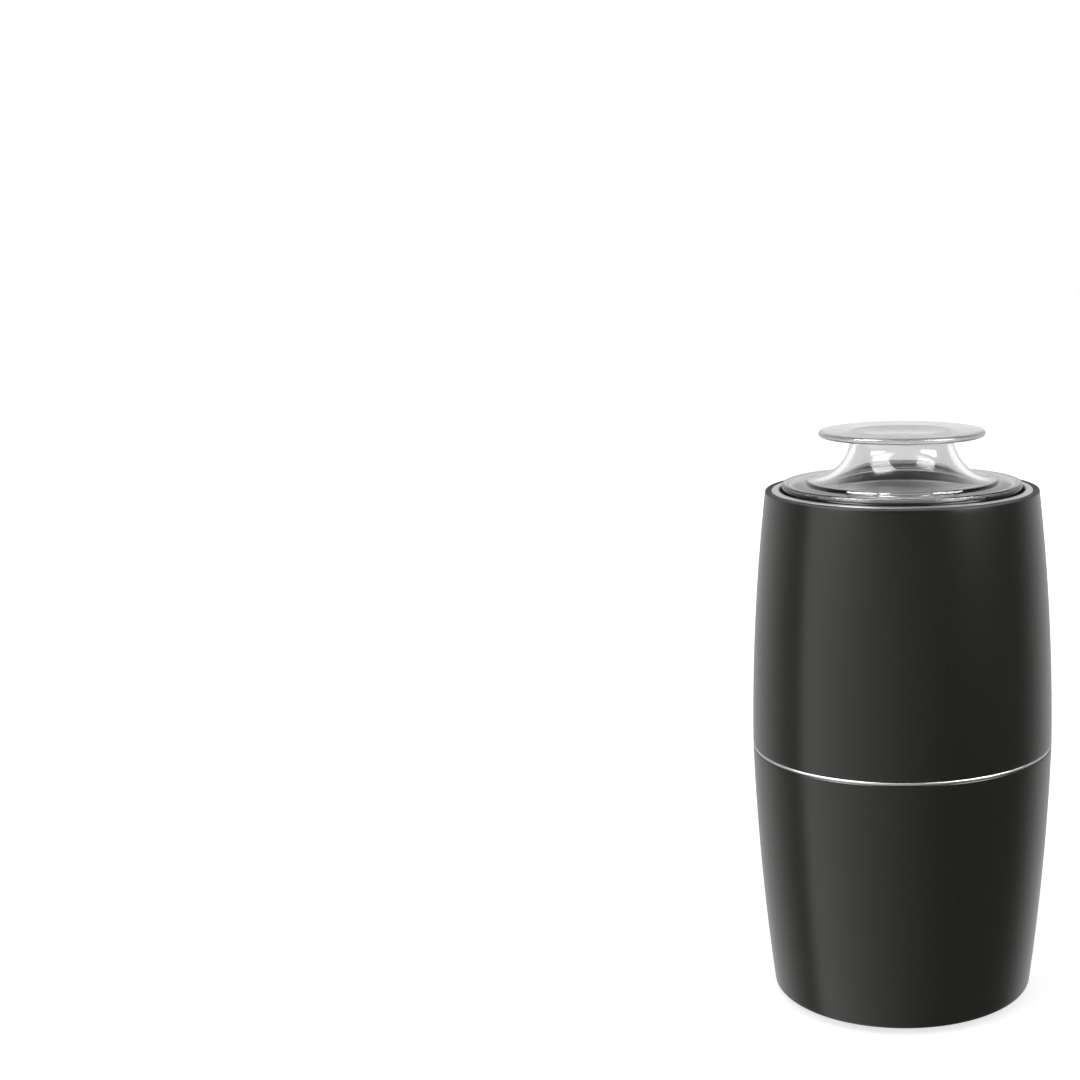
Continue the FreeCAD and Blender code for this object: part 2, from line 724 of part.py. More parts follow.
def bowl():
    """Pressed steel bowl, with a rounded corner, a flange and a hole for the hub."""
    outer_corner = bowl_corner + bowl_wall
    turn = bowl_radius - bowl_corner
    hole = thread_radius + fit_gap
    outline = Outline(hole, bowl_under_z).line(turn, bowl_under_z)
    outline.corner((turn, bowl_under_z + outer_corner), outer_corner, -90, 0)
    outline.line(bowl_outer, recess_z).line(bowl_outer + bowl_flange, recess_z)
    outline.line(bowl_outer + bowl_flange, bowl_rim_z)
    lip = bowl_wall * 0.8
    outline.line(bowl_radius + lip, bowl_rim_z).corner((bowl_radius + lip, bowl_rim_z - lip), lip, 90, 180)
    outline.line(bowl_radius, bowl_floor_z + bowl_corner)
    outline.corner((turn, bowl_floor_z + bowl_corner), bowl_corner, 0, -90).line(hole, bowl_floor_z)
    return outline.lathe()


def hub_nut():
    """Hexagon nut that clamps the floor of the bowl, with its top corners turned down."""
    top, half = bowl_floor_z + hub_nut_height, hub_nut_flats / 2
    corner = hub_nut_flats / math.sqrt(3)
    turning = Outline(0, bowl_floor_z).line(corner, bowl_floor_z).line(corner, top - nut_chamfer)
    nut = hexagon(hub_nut_flats, bowl_floor_z, top).common(turning.line(half, top).line(0, top).lathe())
    return nut.cut(rod(thread_radius + thread_gap, bowl_floor_z - OVER, top + OVER))


def shaft_seal():
    """Rubber seal in the mouth of the column, with a lip that tapers up to the shaft."""
    low, inner, outer = column_top_z - seal_height, shaft_radius + running_gap, seal_radius - seal_gap
    outline = Outline(inner + seal_lip, low).line(outer, low).line(outer, column_top_z)
    return outline.line(inner, column_top_z + seal_rise).line(inner, column_top_z - seal_rise).lathe()


def lid():
    """Clear lid: a skirt in the bowl, a flange on the lift ring, and a flare up to the neck."""
    centre = (flare_centre, neck_z)
    inner = flare_radius + lid_wall
    lip_inner = lid_radius - lid_lip_width
    outline = Outline(skirt_outer, lid_top_z - skirt_depth).line(skirt_outer, lid_plate_z)
    outline.line(lip_inner, lid_plate_z).line(lip_inner, lid_lip_z).line(lid_radius, lid_lip_z)
    outline.line(lid_radius, lid_top_z - lid_edge_rounding)
    outline.corner((lid_radius - lid_edge_rounding, lid_top_z - lid_edge_rounding), lid_edge_rounding, 0, 90)
    outline.line(flare_foot + step_bevel, lid_top_z).line(flare_foot, flare_z - step_bevel)
    outline.line(flare_foot - step_bevel, flare_z).line(flare_centre, flare_z)
    outline.corner(centre, flare_radius, -90, -180)
    outline.line(neck_inner, neck_z).corner(centre, inner, -180, -90)
    outline.line(skirt_inner, neck_z - inner).line(skirt_inner, lid_top_z - skirt_depth)
    return outline.lathe()


def lid_disc():
    """Press disc with a full round edge and a slightly dished top, plugged into the neck."""
    edge = disc_thick / 2
    top = neck_z + disc_thick
    plug_outer = neck_inner - fit_gap / 2
    plug_inner = plug_outer - disc_plug_wall
    rim = disc_radius - edge
    outline = Outline(0, neck_z).line(plug_inner, neck_z).line(plug_inner, neck_z - disc_plug)
    outline.line(plug_outer, neck_z - disc_plug).line(plug_outer, neck_z).line(rim, neck_z)
    outline.corner((rim, neck_z + edge), edge, -90, 90)
    return outline.line(rim - disc_border, top).dome(top - disc_dish).lathe()


def lift_ring():
    """Sprung ring under the lid, with three spring pegs and the long switch rod at the back."""
    body = ring(lift_inner, lift_outer, lift_bottom_z, lift_top_z)
    root = lift_bottom_z + lift_ring_thick / 2
    peg = rod(peg_radius, lift_bottom_z - peg_length, root, peg_circle, 0)
    x, y = rod_width / 2, rod_thick / 2
    low = rod_tip_z() + rod_tip
    stem = block(-x, x, rod_circle - y, rod_circle + y, low, root)
    tip = Part.makeCylinder(rod_tip, rod_thick, vec(0, rod_circle - y, low), vec(0, 1, 0))
    return joined(body, *around(peg, cup_angles), stem, tip)


def rod_tip_z():
    """Height of the rod's tip, just above the lever of the switch."""
    return pivot_z + lever_reach * math.tan(math.radians(lever_angle)) + lever_thick + contact_gap


def lift_springs():
    """The space that each of the three coil springs fills, from its cup to the lift ring."""
    inner, outer = spring_radius - spring_wire / 2, spring_radius + spring_wire / 2
    tube = ring(inner, outer, cup_floor_z, lift_bottom_z)
    tube.translate(vec(peg_circle, 0, 0))
    return around(tube, cup_angles)


def across(radius, x, z, width):
    """A rod along Y whose middle lies over the middle of the switch."""
    return Part.makeCylinder(radius, width, vec(x, rod_circle - width / 2, z), vec(0, 1, 0))


def switch_case():
    """Body of the snap switch on the chassis, with two ears for the lever's pin."""
    x0 = pivot_x - switch_pivot_inset
    x1 = x0 + switch_length
    y0, y1 = rod_circle - switch_width / 2, rod_circle + switch_width / 2
    body = block(x0, x1, y0, y1, chassis_top_z, switch_top_z)
    near, far = pivot_x - ear_reach, pivot_x + ear_reach
    low, high = switch_top_z - OVER, pivot_z + ear_reach
    ears = [block(near, far, y0, y0 + ear_thick, low, high), block(near, far, y1 - ear_thick, y1, low, high)]
    wide = switch_width + 2 * OVER
    button_x = pivot_x + button_reach
    cuts = [rod(button_radius + fit_gap, switch_top_z - button_depth, high, button_x, rod_circle)]
    cuts.append(across(pin_radius + running_gap, pivot_x, pivot_z, wide))
    for x in (x0 + switch_hole_inset, x1 - switch_hole_inset):
        cuts.append(across(switch_hole_radius, x, chassis_top_z + switch_hole_height, wide))
    return joined(body, *ears).cut(cuts)


def switch_lever():
    """Spring steel lever, rolled round its pin at one end."""
    length = (lever_reach + lever_tail) / math.cos(math.radians(lever_angle))
    half = lever_width / 2
    plate = block(0, length, rod_circle - half, rod_circle + half, 0, lever_thick)
    pin = across(pin_radius, 0, 0, switch_width - lever_play)
    shape = joined(across(roll_radius, 0, 0, lever_width), plate, pin)
    shape.rotate(ORIGIN, vec(0, 1, 0), -lever_angle)
    shape.translate(vec(pivot_x, 0, pivot_z))
    return shape


def switch_button():
    """Round button of the snap switch, with its top edge rounded."""
    low = switch_top_z - button_root
    cap = rod(button_radius, low, switch_top_z + button_lift, pivot_x + button_reach, rod_circle)
    return cap.makeFillet(button_radius / 2, [e for e in cap.Edges if e.BoundBox.ZMin > switch_top_z])


def stator_core():
    """Laminated core with two poles, whose shoes curve round the armature."""
    half_x, half_y = stator_length / 2, stator_width / 2
    low, high = stack_z - OVER, stack_top_z + OVER
    frame = block(-half_x, half_x, -half_y, half_y, stack_z, stack_top_z)
    frame = frame.makeFillet(stack_rounding, [e for e in frame.Edges if e.BoundBox.ZLength > OVER])
    window = block(yoke - half_x, half_x - yoke, yoke - half_y, half_y - yoke, low, high)
    shoes = ring(bore_radius, bore_radius + pole_shoe, stack_z, stack_top_z)
    spread = math.tan(math.radians(pole_angle)) * half_x
    wedge = prism([(0, 0), (half_x, -spread), (half_x, spread)], stack_z, stack_top_z)
    near, far, half = bore_radius + pole_shoe / 2, half_x - yoke / 2, pole_width / 2
    pole = shoes.common(wedge).fuse(block(near, far, -half, half, stack_z, stack_top_z))
    core = joined(frame.cut(window), pole, turned(pole, 180))
    return core.cut([rod(bolt_radius + fit_gap, low, high, x, y) for x, y in leg_places()])


def field_coil(angle):
    """Winding round one pole, with rounded end turns."""
    near = bore_radius + pole_shoe + coil_gap
    far = stator_length / 2 - yoke - coil_gap
    y = pole_width / 2 + coil_gap
    low, high = stack_z - coil_gap, stack_top_z + coil_gap
    outer = block(near, far, -y - coil_side, y + coil_side, low - coil_overhang, high + coil_overhang)
    outer = outer.makeFillet(coil_side * 0.9, [e for e in outer.Edges if e.BoundBox.XLength > OVER])
    return turned(outer.cut(block(near - OVER, far + OVER, -y, y, low, high)), angle)


def armature_core():
    """Laminated drum on the shaft, with a ring of half closed slots."""
    low, high, half = stack_z - OVER, stack_top_z + OVER, slot_mouth / 2
    slot = rod(slot_radius, low, high, slot_circle, 0)
    slot = slot.fuse(block(slot_circle, armature_radius + OVER, -half, half, low, high))
    return ring(shaft_radius, armature_radius, stack_z, stack_top_z).cut(around(slot, even(slot_count)))


def armature_winding():
    """End turns at both ends of the armature, and the bundles of wire in its slots."""
    parts = []
    inner = shaft_radius + winding_gap
    for base, rise in ((stack_top_z, winding_overhang), (stack_z, -winding_overhang)):
        outline = Outline(inner, base).line(winding_radius, base)
        shoulder = (winding_radius - winding_round / 4, base + rise * 0.6)
        outline.arc(shoulder, (winding_radius - winding_round, base + rise))
        parts.append(outline.line(inner, base + rise).lathe())
    bundle = rod(slot_radius - fit_gap, stack_z - OVER / 2, stack_top_z + OVER / 2, slot_circle, 0)
    return joined(*parts, *around(bundle, even(slot_count)))


def commutator():
    """Ring of copper bars with a flange at the end that meets the winding."""
    top = commutator_z + commutator_length
    edge = commutator_radius + riser_width
    body = ring(shaft_radius, commutator_radius, commutator_z, top)
    riser = ring(commutator_radius - bar_depth, edge, top - riser_height, top)
    half = bar_gap / 2
    groove = block(commutator_radius - bar_depth, edge + OVER, -half, half, commutator_z - OVER, top + OVER)
    return joined(body, riser).cut(around(groove, even(commutator_bars)))


def fan():
    """Radial fan on the shaft, with straight blades under its disc."""
    low, half = fan_top_z - fan_height, fan_thick / 2
    disc = ring(shaft_radius, fan_radius, fan_top_z - fan_thick, fan_top_z)
    hub = ring(shaft_radius, shaft_radius + fan_hub_wall, low, fan_top_z)
    blade = block(fan_blade_root, fan_radius, -half, half, low, fan_top_z - half)
    return joined(disc, hub, *around(blade, even(fan_blades)))


def motor_shaft():
    """Ground shaft from the lower bearing up through the bowl, stepped for the blade."""
    low = bracket_z - bracket_boss - shaft_stub
    spacer_z = column_top_z + spacer_gap
    outline = Outline(0, low).line(shaft_radius - shaft_step, low).line(shaft_radius, low + shaft_step)
    outline.line(shaft_radius, spacer_z).line(blade_spacer_radius, spacer_z)
    outline.line(blade_spacer_radius, blade_z).line(blade_bore, blade_z)
    outline.line(blade_bore, shaft_top_z - shaft_step)
    return outline.line(blade_bore - shaft_step, shaft_top_z).line(0, shaft_top_z).lathe()


def bearing(middle_z):
    """Self-aligning sleeve bearing: a ball with flat ends and a bore."""
    half = bearing_height / 2
    flat = math.sqrt(bearing_radius**2 - half**2)
    bore = shaft_radius + running_gap
    outline = Outline(bore, middle_z - half).line(flat, middle_z - half)
    outline.arc((bearing_radius, middle_z), (flat, middle_z + half)).line(bore, middle_z + half)
    return outline.lathe()


def motor_bracket():
    """Cast bridge under the stack, with the lower bearing's seat and the brush holders' slots."""
    half_x, half_y = stator_length / 2, stator_width / 2
    boss_z = bracket_z - bracket_boss
    plate = block(-half_x, half_x, -half_y, half_y, bracket_z, bracket_top_z)
    plate = plate.makeFillet(stack_rounding, [e for e in plate.Edges if e.BoundBox.ZLength > OVER])
    boss = rod(bearing_cup + boss_wall, boss_z, bracket_top_z)
    legs = [rod(bracket_post_radius, bracket_z + OVER, stack_z, x, y) for x, y in leg_places()]
    cuts = [rod(bearing_cup, boss_z + bearing_floor, bracket_top_z + OVER)]
    cuts.append(rod(shaft_radius + boss_gap, boss_z - OVER, bracket_top_z))
    window = block(-window_half, window_half, window_near, window_far, bracket_z - OVER, bracket_top_z + OVER)
    cuts += [window, window.mirror(ORIGIN, vec(0, 1, 0))]
    cuts += [rod(bolt_radius + fit_gap, bracket_z - OVER, stack_z + OVER, x, y) for x, y in bolt_places()]
    return joined(plate, boss, *legs).cut(cuts)


def brush_holder(angle):
    """Brass box on the bracket that guides a carbon brush."""
    x0 = commutator_radius + holder_gap
    x1 = x0 + holder_length
    y, z = brush_width / 2 + fit_gap, brush_height / 2 + fit_gap
    outer = block(x0, x1, -y - holder_wall, y + holder_wall, bracket_top_z, brush_z + z + holder_wall)
    inner = block(x0 - OVER, x1 - holder_wall, -y, y, brush_z - z, brush_z + z)
    return turned(outer.cut(inner), angle)


def brush(angle):
    """Carbon brush with a face that is worn to the commutator."""
    y, z = brush_width / 2, brush_height / 2
    bar = block(commutator_radius - OVER, commutator_radius + brush_length, -y, y, brush_z - z, brush_z + z)
    face = rod(commutator_radius + running_gap, commutator_z, commutator_z + commutator_length)
    return turned(solid(bar.cut(face)), angle)


def brush_springs():
    """The space that the two coil springs behind the brushes fill."""
    near = commutator_radius + brush_length + brush_spring_gap
    far = commutator_radius + holder_gap + holder_length - holder_wall
    spring = ring(brush_spring_bore, brush_spring_radius, near, far)
    spring.rotate(ORIGIN, vec(0, 1, 0), 90)
    spring.translate(vec(0, 0, brush_z))
    return around(spring, (0, 180))


def motor_bolts():
    """Two long bolts that hang the bracket and the stack from the chassis."""
    bolts = []
    for x, y in bolt_places():
        head = hexagon(bolt_head_flats, bracket_z - bolt_head_height, bracket_z)
        head.translate(vec(x, y, 0))
        shank = rod(bolt_radius - fit_gap, bracket_z - OVER, chassis_z - bolt_short, x, y)
        bolts.append(solid(head.fuse(shank)))
    return bolts


def blade():
    """Two wings on a hub: one bent up and one bent down, each ground to an edge at its leading side."""
    hub = rod(blade_hub_radius, blade_z, blade_top_z)
    shape = joined(hub, wing(blade_up_angle), turned(wing(-blade_down_angle), 180))
    return shape.cut(rod(blade_bore, blade_z - OVER, blade_top_z + OVER))


def wing(tilt):
    """One wing along +X: flat as far as the bend, then tilted, tapered and cut off at a slant."""
    turn = math.radians(tilt)
    slope = (blade_tip_width - blade_root_width) / 2 / blade_radius
    mitre = blade_thick / math.cos(turn / 2)
    stations = (
        (0, 0, 0, blade_thick),
        (blade_bend_radius, turn / 2, 0, mitre),
        (blade_radius - blade_slant, turn, 0, blade_thick),
        (blade_radius, turn, blade_slant, blade_thick),
    )
    wires = []
    for reach, lean, cut, thick in stations:
        beyond = max(reach - blade_bend_radius, 0)
        x, z = reach - beyond * (1 - math.cos(turn)), blade_z + beyond * math.sin(turn)
        lead = blade_root_width / 2 + slope * reach - cut
        trail = -blade_root_width / 2 - slope * reach
        ground = lead - blade_bevel
        points = []
        for y, share in ((trail, 0), (ground, 0), (lead, blade_edge), (ground, 1), (trail, 1)):
            up = thick * share
            points.append(vec(x - up * math.sin(lean), y, z + up * math.cos(lean)))
        wires.append(Part.makePolygon(points + points[:1]))
    return solid(Part.makeLoft(wires, True, True))


def blade_nut():
    """Hexagon cap nut with a low dome."""
    top = blade_top_z + blade_nut_height
    corner = blade_nut_flats / math.sqrt(3)
    turning = Outline(0, blade_top_z).line(corner, blade_top_z).line(corner, top - nut_dome)
    turning.dome(top + nut_dome)
    nut = hexagon(blade_nut_flats, blade_top_z, top + nut_dome).common(turning.lathe())
    return solid(nut).cut(rod(blade_bore, blade_top_z - OVER, shaft_top_z + contact_gap))


def screws(length, head_z, circle, angles):
    return [screw(length, head_z, circle, angle) for angle in angles]


def save(name, shapes):
    """Writes a node's STEP file from one solid or a list of separate solids."""
    shapes = shapes if isinstance(shapes, list) else [shapes]
    solids = [s for shape in shapes for s in shape.Solids]
    shape = solids[0] if len(solids) == 1 else Part.makeCompound(solids)
    shape.exportStep(os.path.join("parts", name + ".step"))
    sound = all(s.isValid() and s.Volume > 0 for s in solids)
    box = shape.BoundBox
    size = f"{box.XLength:.1f} x {box.YLength:.1f} x {box.ZLength:.1f}"
    state = "sound" if sound else "BROKEN"
    print(f"{name}: {len(solids)} solid, {size}, {shape.Volume / 1000:.2f} cm3, {state}")


def main():
    os.makedirs("parts", exist_ok=True)
    save("lower_housing", lower_housing())
    save("upper_housing", upper_housing())
    save("trim_ring", trim_ring())
    save("bottom_cover", bottom_cover())
    for number, angle in enumerate(foot_places(), 1):
        save(f"foot_{number}", foot(angle))
    save("cover_screws", screws(cover_screw_length, cover_head_z, cover_screw_circle, cover_screw_angles))
    save("seam_screws", screws(seam_screw_length, seam_screw_z, seam_post_circle, seam_post_angles))
    save("cord_gland", cord_gland())
    save("cord_clamp", cord_clamp())
    save("chassis", chassis())
    save("collar", collar())
    save("bowl", bowl())
    save("bowl_gasket", ring(thread_radius + fit_gap, column_radius - gasket_inset, gasket_z, bowl_under_z))
    save("hub_nut", hub_nut())
    save("shaft_seal", shaft_seal())
    save("lid", lid())
    save("lid_disc", lid_disc())
    save("lift_ring", lift_ring())
    save("lift_springs", lift_springs())
    save("switch_case", switch_case())
    save("switch_lever", switch_lever())
    save("switch_button", switch_button())
    save("stator_core", stator_core())
    save("field_coil_right", field_coil(0))
    save("field_coil_left", field_coil(180))
    save("armature_core", armature_core())
    save("armature_winding", armature_winding())
    save("commutator", commutator())
    save("fan", fan())
    save("motor_shaft", motor_shaft())
    save("upper_bearing", bearing(chassis_z + bearing_seat + bearing_height / 2))
    save("lower_bearing", bearing(bracket_z - bracket_boss + bearing_floor + bearing_height / 2))
    save("motor_bracket", motor_bracket())
    save("motor_bolts", motor_bolts())
    for name, angle in (("right", 0), ("left", 180)):
        save(f"brush_holder_{name}", brush_holder(angle))
        save(f"brush_{name}", brush(angle))
    save("brush_springs", brush_springs())
    save("blade", blade())
    save("blade_nut", blade_nut())


main()
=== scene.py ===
"""Dresses the electric spice grinder and sets the studio round it.

The barrel's shells, the bright ring, the collar, the clear lid, the bowl, the springs and the
feet are built here from their outlines. The blade, the nuts, the lift ring, the cover and the
cord's fittings are copies of their solids with softened edges, and the other pieces keep their
solids. Every surface gets a finish of its own: grain, turned lines, wire, sheets or pores.

Shapes are written in millimetres and finishes in metres.
"""
import logging
import math
from dataclasses import dataclass
from enum import Enum
from typing import Callable, Optional, Sequence, Union

import bpy
from mathutils import Matrix, Vector


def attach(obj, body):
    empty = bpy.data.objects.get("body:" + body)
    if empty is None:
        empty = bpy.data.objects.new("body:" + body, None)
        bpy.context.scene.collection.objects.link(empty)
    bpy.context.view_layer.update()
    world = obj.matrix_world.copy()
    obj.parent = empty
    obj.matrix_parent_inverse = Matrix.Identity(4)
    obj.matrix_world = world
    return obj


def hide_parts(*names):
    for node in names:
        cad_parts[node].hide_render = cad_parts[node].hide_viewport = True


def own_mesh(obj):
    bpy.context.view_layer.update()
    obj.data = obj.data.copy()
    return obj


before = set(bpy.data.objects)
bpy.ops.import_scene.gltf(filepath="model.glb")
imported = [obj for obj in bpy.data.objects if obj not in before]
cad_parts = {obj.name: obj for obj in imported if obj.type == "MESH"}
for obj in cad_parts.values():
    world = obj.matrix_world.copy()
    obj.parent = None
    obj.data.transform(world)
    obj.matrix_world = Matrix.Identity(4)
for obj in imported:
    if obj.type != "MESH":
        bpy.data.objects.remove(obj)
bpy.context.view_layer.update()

MM = 0.001
WELD = 1e-7
ON_AXIS = 1e-6
FLAT_ANGLE = 0.6
SIDE_STEPS = 40
SHELL_STEPS = 256
RING_STEPS = 224
PAINT_EDGE = 0.0001
THIRDS = (30, 150, 270)
LOG = logging.getLogger("grinder")
Color = tuple[float, float, float]


class Body(str, Enum):
    """The rigid bodies that a modelled piece rides on."""

    HOUSING = "housing"
    LIFT_RING = "lift_ring"
    LID = "lid"
    ROTOR = "rotor"


class Axis(Enum):
    """The three directions, by their place in a vector."""

    X = 0
    Y = 1
    Z = 2


# Shader nodes


def operator(operation: str, swapped: bool = False) -> Callable[["Wire", "Number"], "Wire"]:
    """Makes the method behind one arithmetic sign.

    Args:
        operation: the Math node's operation.
        swapped: whether the other value comes first.

    Returns:
        The method.
    """
    def method(wire: "Wire", other: "Number") -> "Wire":
        """The result of the operation on the two values."""
        return wire.sheet.math(operation, *((other, wire) if swapped else (wire, other)))

    return method


class Wire:
    """A value on its way through a node tree, with arithmetic."""

    __add__, __radd__ = operator("ADD"), operator("ADD", True)
    __sub__, __rsub__ = operator("SUBTRACT"), operator("SUBTRACT", True)
    __mul__, __rmul__ = operator("MULTIPLY"), operator("MULTIPLY", True)
    __truediv__, __rtruediv__ = operator("DIVIDE"), operator("DIVIDE", True)
    __pow__, __rpow__ = operator("POWER"), operator("POWER", True)

    def __init__(self, sheet: "Sheet", socket: bpy.types.NodeSocket) -> None:
        """Wraps a socket of a tree."""
        self.sheet = sheet
        self.socket = socket

    def sine(self) -> "Wire":
        """The sine of the value."""
        return self.sheet.math("SINE", self)

    def size(self) -> "Wire":
        """The value without its sign."""
        return self.sheet.math("ABSOLUTE", self)

    def above(self, level: "Number") -> "Wire":
        """One where the value is above a level, and zero elsewhere."""
        return self.sheet.math("GREATER_THAN", self, level)

    def between(self, low: float, high: float) -> "Wire":
        """A smooth rise from zero at one level to one at another.

        Args:
            low: the value that gives zero.
            high: the value that gives one.

        Returns:
            The value, smoothed and limited to zero and one.
        """
        settings = {"interpolation_type": "SMOOTHSTEP"}
        limits = {"Value": self, "From Min": low, "From Max": high, "To Min": 0.0, "To Max": 1.0}
        return self.sheet.node("ShaderNodeMapRange", settings, limits)

    def spread(self, low: float, high: float) -> "Wire":
        """The value, from zero and one to two other limits.

        Args:
            low: the result where the value is zero.
            high: the result where the value is one.

        Returns:
            The stretched value.
        """
        return self * (high - low) + low


Number = Union[Wire, float, int]


class Sheet:
    """A node tree that is written by name."""

    def __init__(self, tree: bpy.types.NodeTree) -> None:
        """Takes an emptied tree."""
        self.tree = tree
        tree.nodes.clear()

    def node(
        self,
        kind: str,
        settings: Optional[dict] = None,
        inputs: Optional[dict] = None,
        output: Union[str, int, None] = 0,
    ) -> Optional[Wire]:
        """Adds one node.

        Args:
            kind: the node's type.
            settings: its properties.
            inputs: a number, a vector or a wire for each socket, by name or place.
            output: the socket to take the result from, or none.

        Returns:
            The wire from that socket, if there is one.
        """
        made = self.tree.nodes.new(kind)
        for name, value in (settings or {}).items():
            setattr(made, name, value)
        for key, value in (inputs or {}).items():
            if isinstance(value, Wire):
                self.tree.links.new(value.socket, made.inputs[key])
            else:
                made.inputs[key].default_value = value
        return Wire(self, made.outputs[output]) if output is not None else None

    def ray(self, kind: str) -> Wire:
        """One for the rays of a kind, such as Camera, and zero for others."""
        return self.node("ShaderNodeLightPath", output=f"Is {kind} Ray")

    def mirrored(self) -> Wire:
        """One for a ray that was mirrored last, and zero for one that was bent by clear material."""
        return self.ray("Glossy") * (1.0 - self.ray("Transmission"))

    def end(self, shader: Wire, kind: str = "ShaderNodeOutputMaterial") -> None:
        """Ends the tree with a surface shader."""
        self.node(kind, {}, {"Surface": shader}, None)

    def math(self, operation: str, *values: Number) -> Wire:
        """One arithmetic node over up to three values."""
        return self.node("ShaderNodeMath", {"operation": operation}, dict(enumerate(values)))

    def vector(self, x: Number, y: Number, z: Number) -> Wire:
        """Three values as one vector."""
        return self.node("ShaderNodeCombineXYZ", {}, {"X": x, "Y": y, "Z": z})

    def parts(self, vector: Wire) -> list[Wire]:
        """The three values of a vector."""
        first = self.node("ShaderNodeSeparateXYZ", {}, {0: vector})
        return [Wire(self, socket) for socket in first.socket.node.outputs]

    def radius(self, place: Wire) -> Wire:
        """The distance from the Z axis."""
        x, y, _ = self.parts(place)
        return self.math("SQRT", x * x + y * y)

    def place(self) -> Wire:
        """The place on the object at rest, in metres."""
        return self.node("ShaderNodeTexCoord", output="Object")

    def noise(self, vector: Wire, scale: float, detail: float = 2.0, rough: float = 0.5) -> Wire:
        """Cloudy noise from zero to one.

        Args:
            vector: where it is read.
            scale: how many clouds to the metre.
            detail: how many finer layers.
            rough: how strong those are.

        Returns:
            The noise.
        """
        inputs = {"Vector": vector, "Scale": scale, "Detail": detail, "Roughness": rough}
        return self.node("ShaderNodeTexNoise", {}, inputs)

    def cells(self, vector: Wire, scale: float) -> Wire:
        """The distance to the nearest of many scattered points."""
        return self.node("ShaderNodeTexVoronoi", {}, {"Vector": vector, "Scale": scale})

    def blend(self, share: Number, first: Sequence[float], second: Sequence[float]) -> Wire:
        """A colour between two others.

        Args:
            share: zero for the first and one for the second.
            first: the first colour.
            second: the second colour.

        Returns:
            The mixed colour.
        """
        made = self.node("ShaderNodeMix", {"data_type": "RGBA"}, {0: share}, 2)
        sockets = made.socket.node.inputs
        for socket, color in ((sockets[6], first), (sockets[7], second)):
            if isinstance(color, Wire):
                self.tree.links.new(color.socket, socket)
            else:
                socket.default_value = (*color, 1.0)
        return made

    def bump(self, height: Wire, depth: float, strength: float = 1.0) -> Wire:
        """A normal that is tilted by a height.

        Args:
            height: the height, zero to one.
            depth: its size in metres.
            strength: how much of it shows.

        Returns:
            The tilted normal.
        """
        inputs = {"Height": height, "Distance": depth, "Strength": strength}
        return self.node("ShaderNodeBump", {}, inputs)

    def rings(self, place: Wire, fine: float, along: float = 3.0) -> Wire:
        """Noise that is drawn out into fine lines round the Z axis.

        Args:
            place: where it is read.
            fine: how many lines to the metre, outwards and upwards.
            along: how often a line changes on its way round.

        Returns:
            The noise.
        """
        x, y, z = self.parts(place)
        radius = self.math("SQRT", x * x + y * y)
        across = (radius + z * 0.7) * fine
        turn = self.vector(across, x / radius * along, y / radius * along)
        return self.noise(turn, 1.0, 3.0, 0.6)

    def streaks(self, place: Wire, axis: Axis, fine: float, long: float) -> Wire:
        """Noise that is drawn out along one axis.

        Args:
            place: where it is read.
            axis: the way the streaks run.
            fine: how many streaks to the metre, across.
            long: how many to the metre, along.

        Returns:
            The noise.
        """
        scale = [fine, fine, fine]
        scale[axis.value] = long
        values = [part * factor for part, factor in zip(self.parts(place), scale)]
        return self.noise(self.vector(*values), 1.0, 3.0, 0.6)


# Finishes


def surface(color: Wire, roughness: Wire, normal: Wire) -> dict:
    """The three values that every finish varies, by their sockets."""
    return {"Base Color": color, "Roughness": roughness, "Normal": normal}


@dataclass(frozen=True)
class Finish:
    """What a surface is made of. Each kind adds its own detail to the shader."""

    name: str
    color: Color
    roughness: float = 0.5
    metallic: float = 0.0

    def material(self) -> bpy.types.Material:
        """Makes the finish's material on first use.

        Returns:
            The material.
        """
        known = bpy.data.materials.get(self.name)
        if known:
            return known
        made = bpy.data.materials.new(self.name)
        made.use_nodes = True
        sheet = Sheet(made.node_tree)
        inputs = {"Base Color": (*self.color, 1.0), "Roughness": self.roughness, "Metallic": self.metallic}
        inputs.update({**self.fixed(), **self.detail(sheet, sheet.place())})
        sheet.end(sheet.node("ShaderNodeBsdfPrincipled", {}, inputs))
        made.diffuse_color = (*self.color, 1.0)
        return made

    def fixed(self) -> dict:
        """The values that are the same all over the surface."""
        return {}

    def detail(self, sheet: Sheet, place: Wire) -> dict:
        """Works out the values that change from place to place.

        Args:
            sheet: the material's tree.
            place: the place on the surface.

        Returns:
            The values by their sockets.
        """
        raise NotImplementedError

    def tint(self, sheet: Sheet, share: Wire, change: float) -> Wire:
        """Makes the finish's colour lighter and darker.

        Args:
            sheet: the material's tree.
            share: zero for the darkest and one for the lightest.
            change: how far it goes either way, as a share of the colour.

        Returns:
            The varied colour.
        """
        dark = tuple(value * (1.0 - change) for value in self.color)
        light = tuple(min(value * (1.0 + change), 1.0) for value in self.color)
        return sheet.blend(share, dark, light)


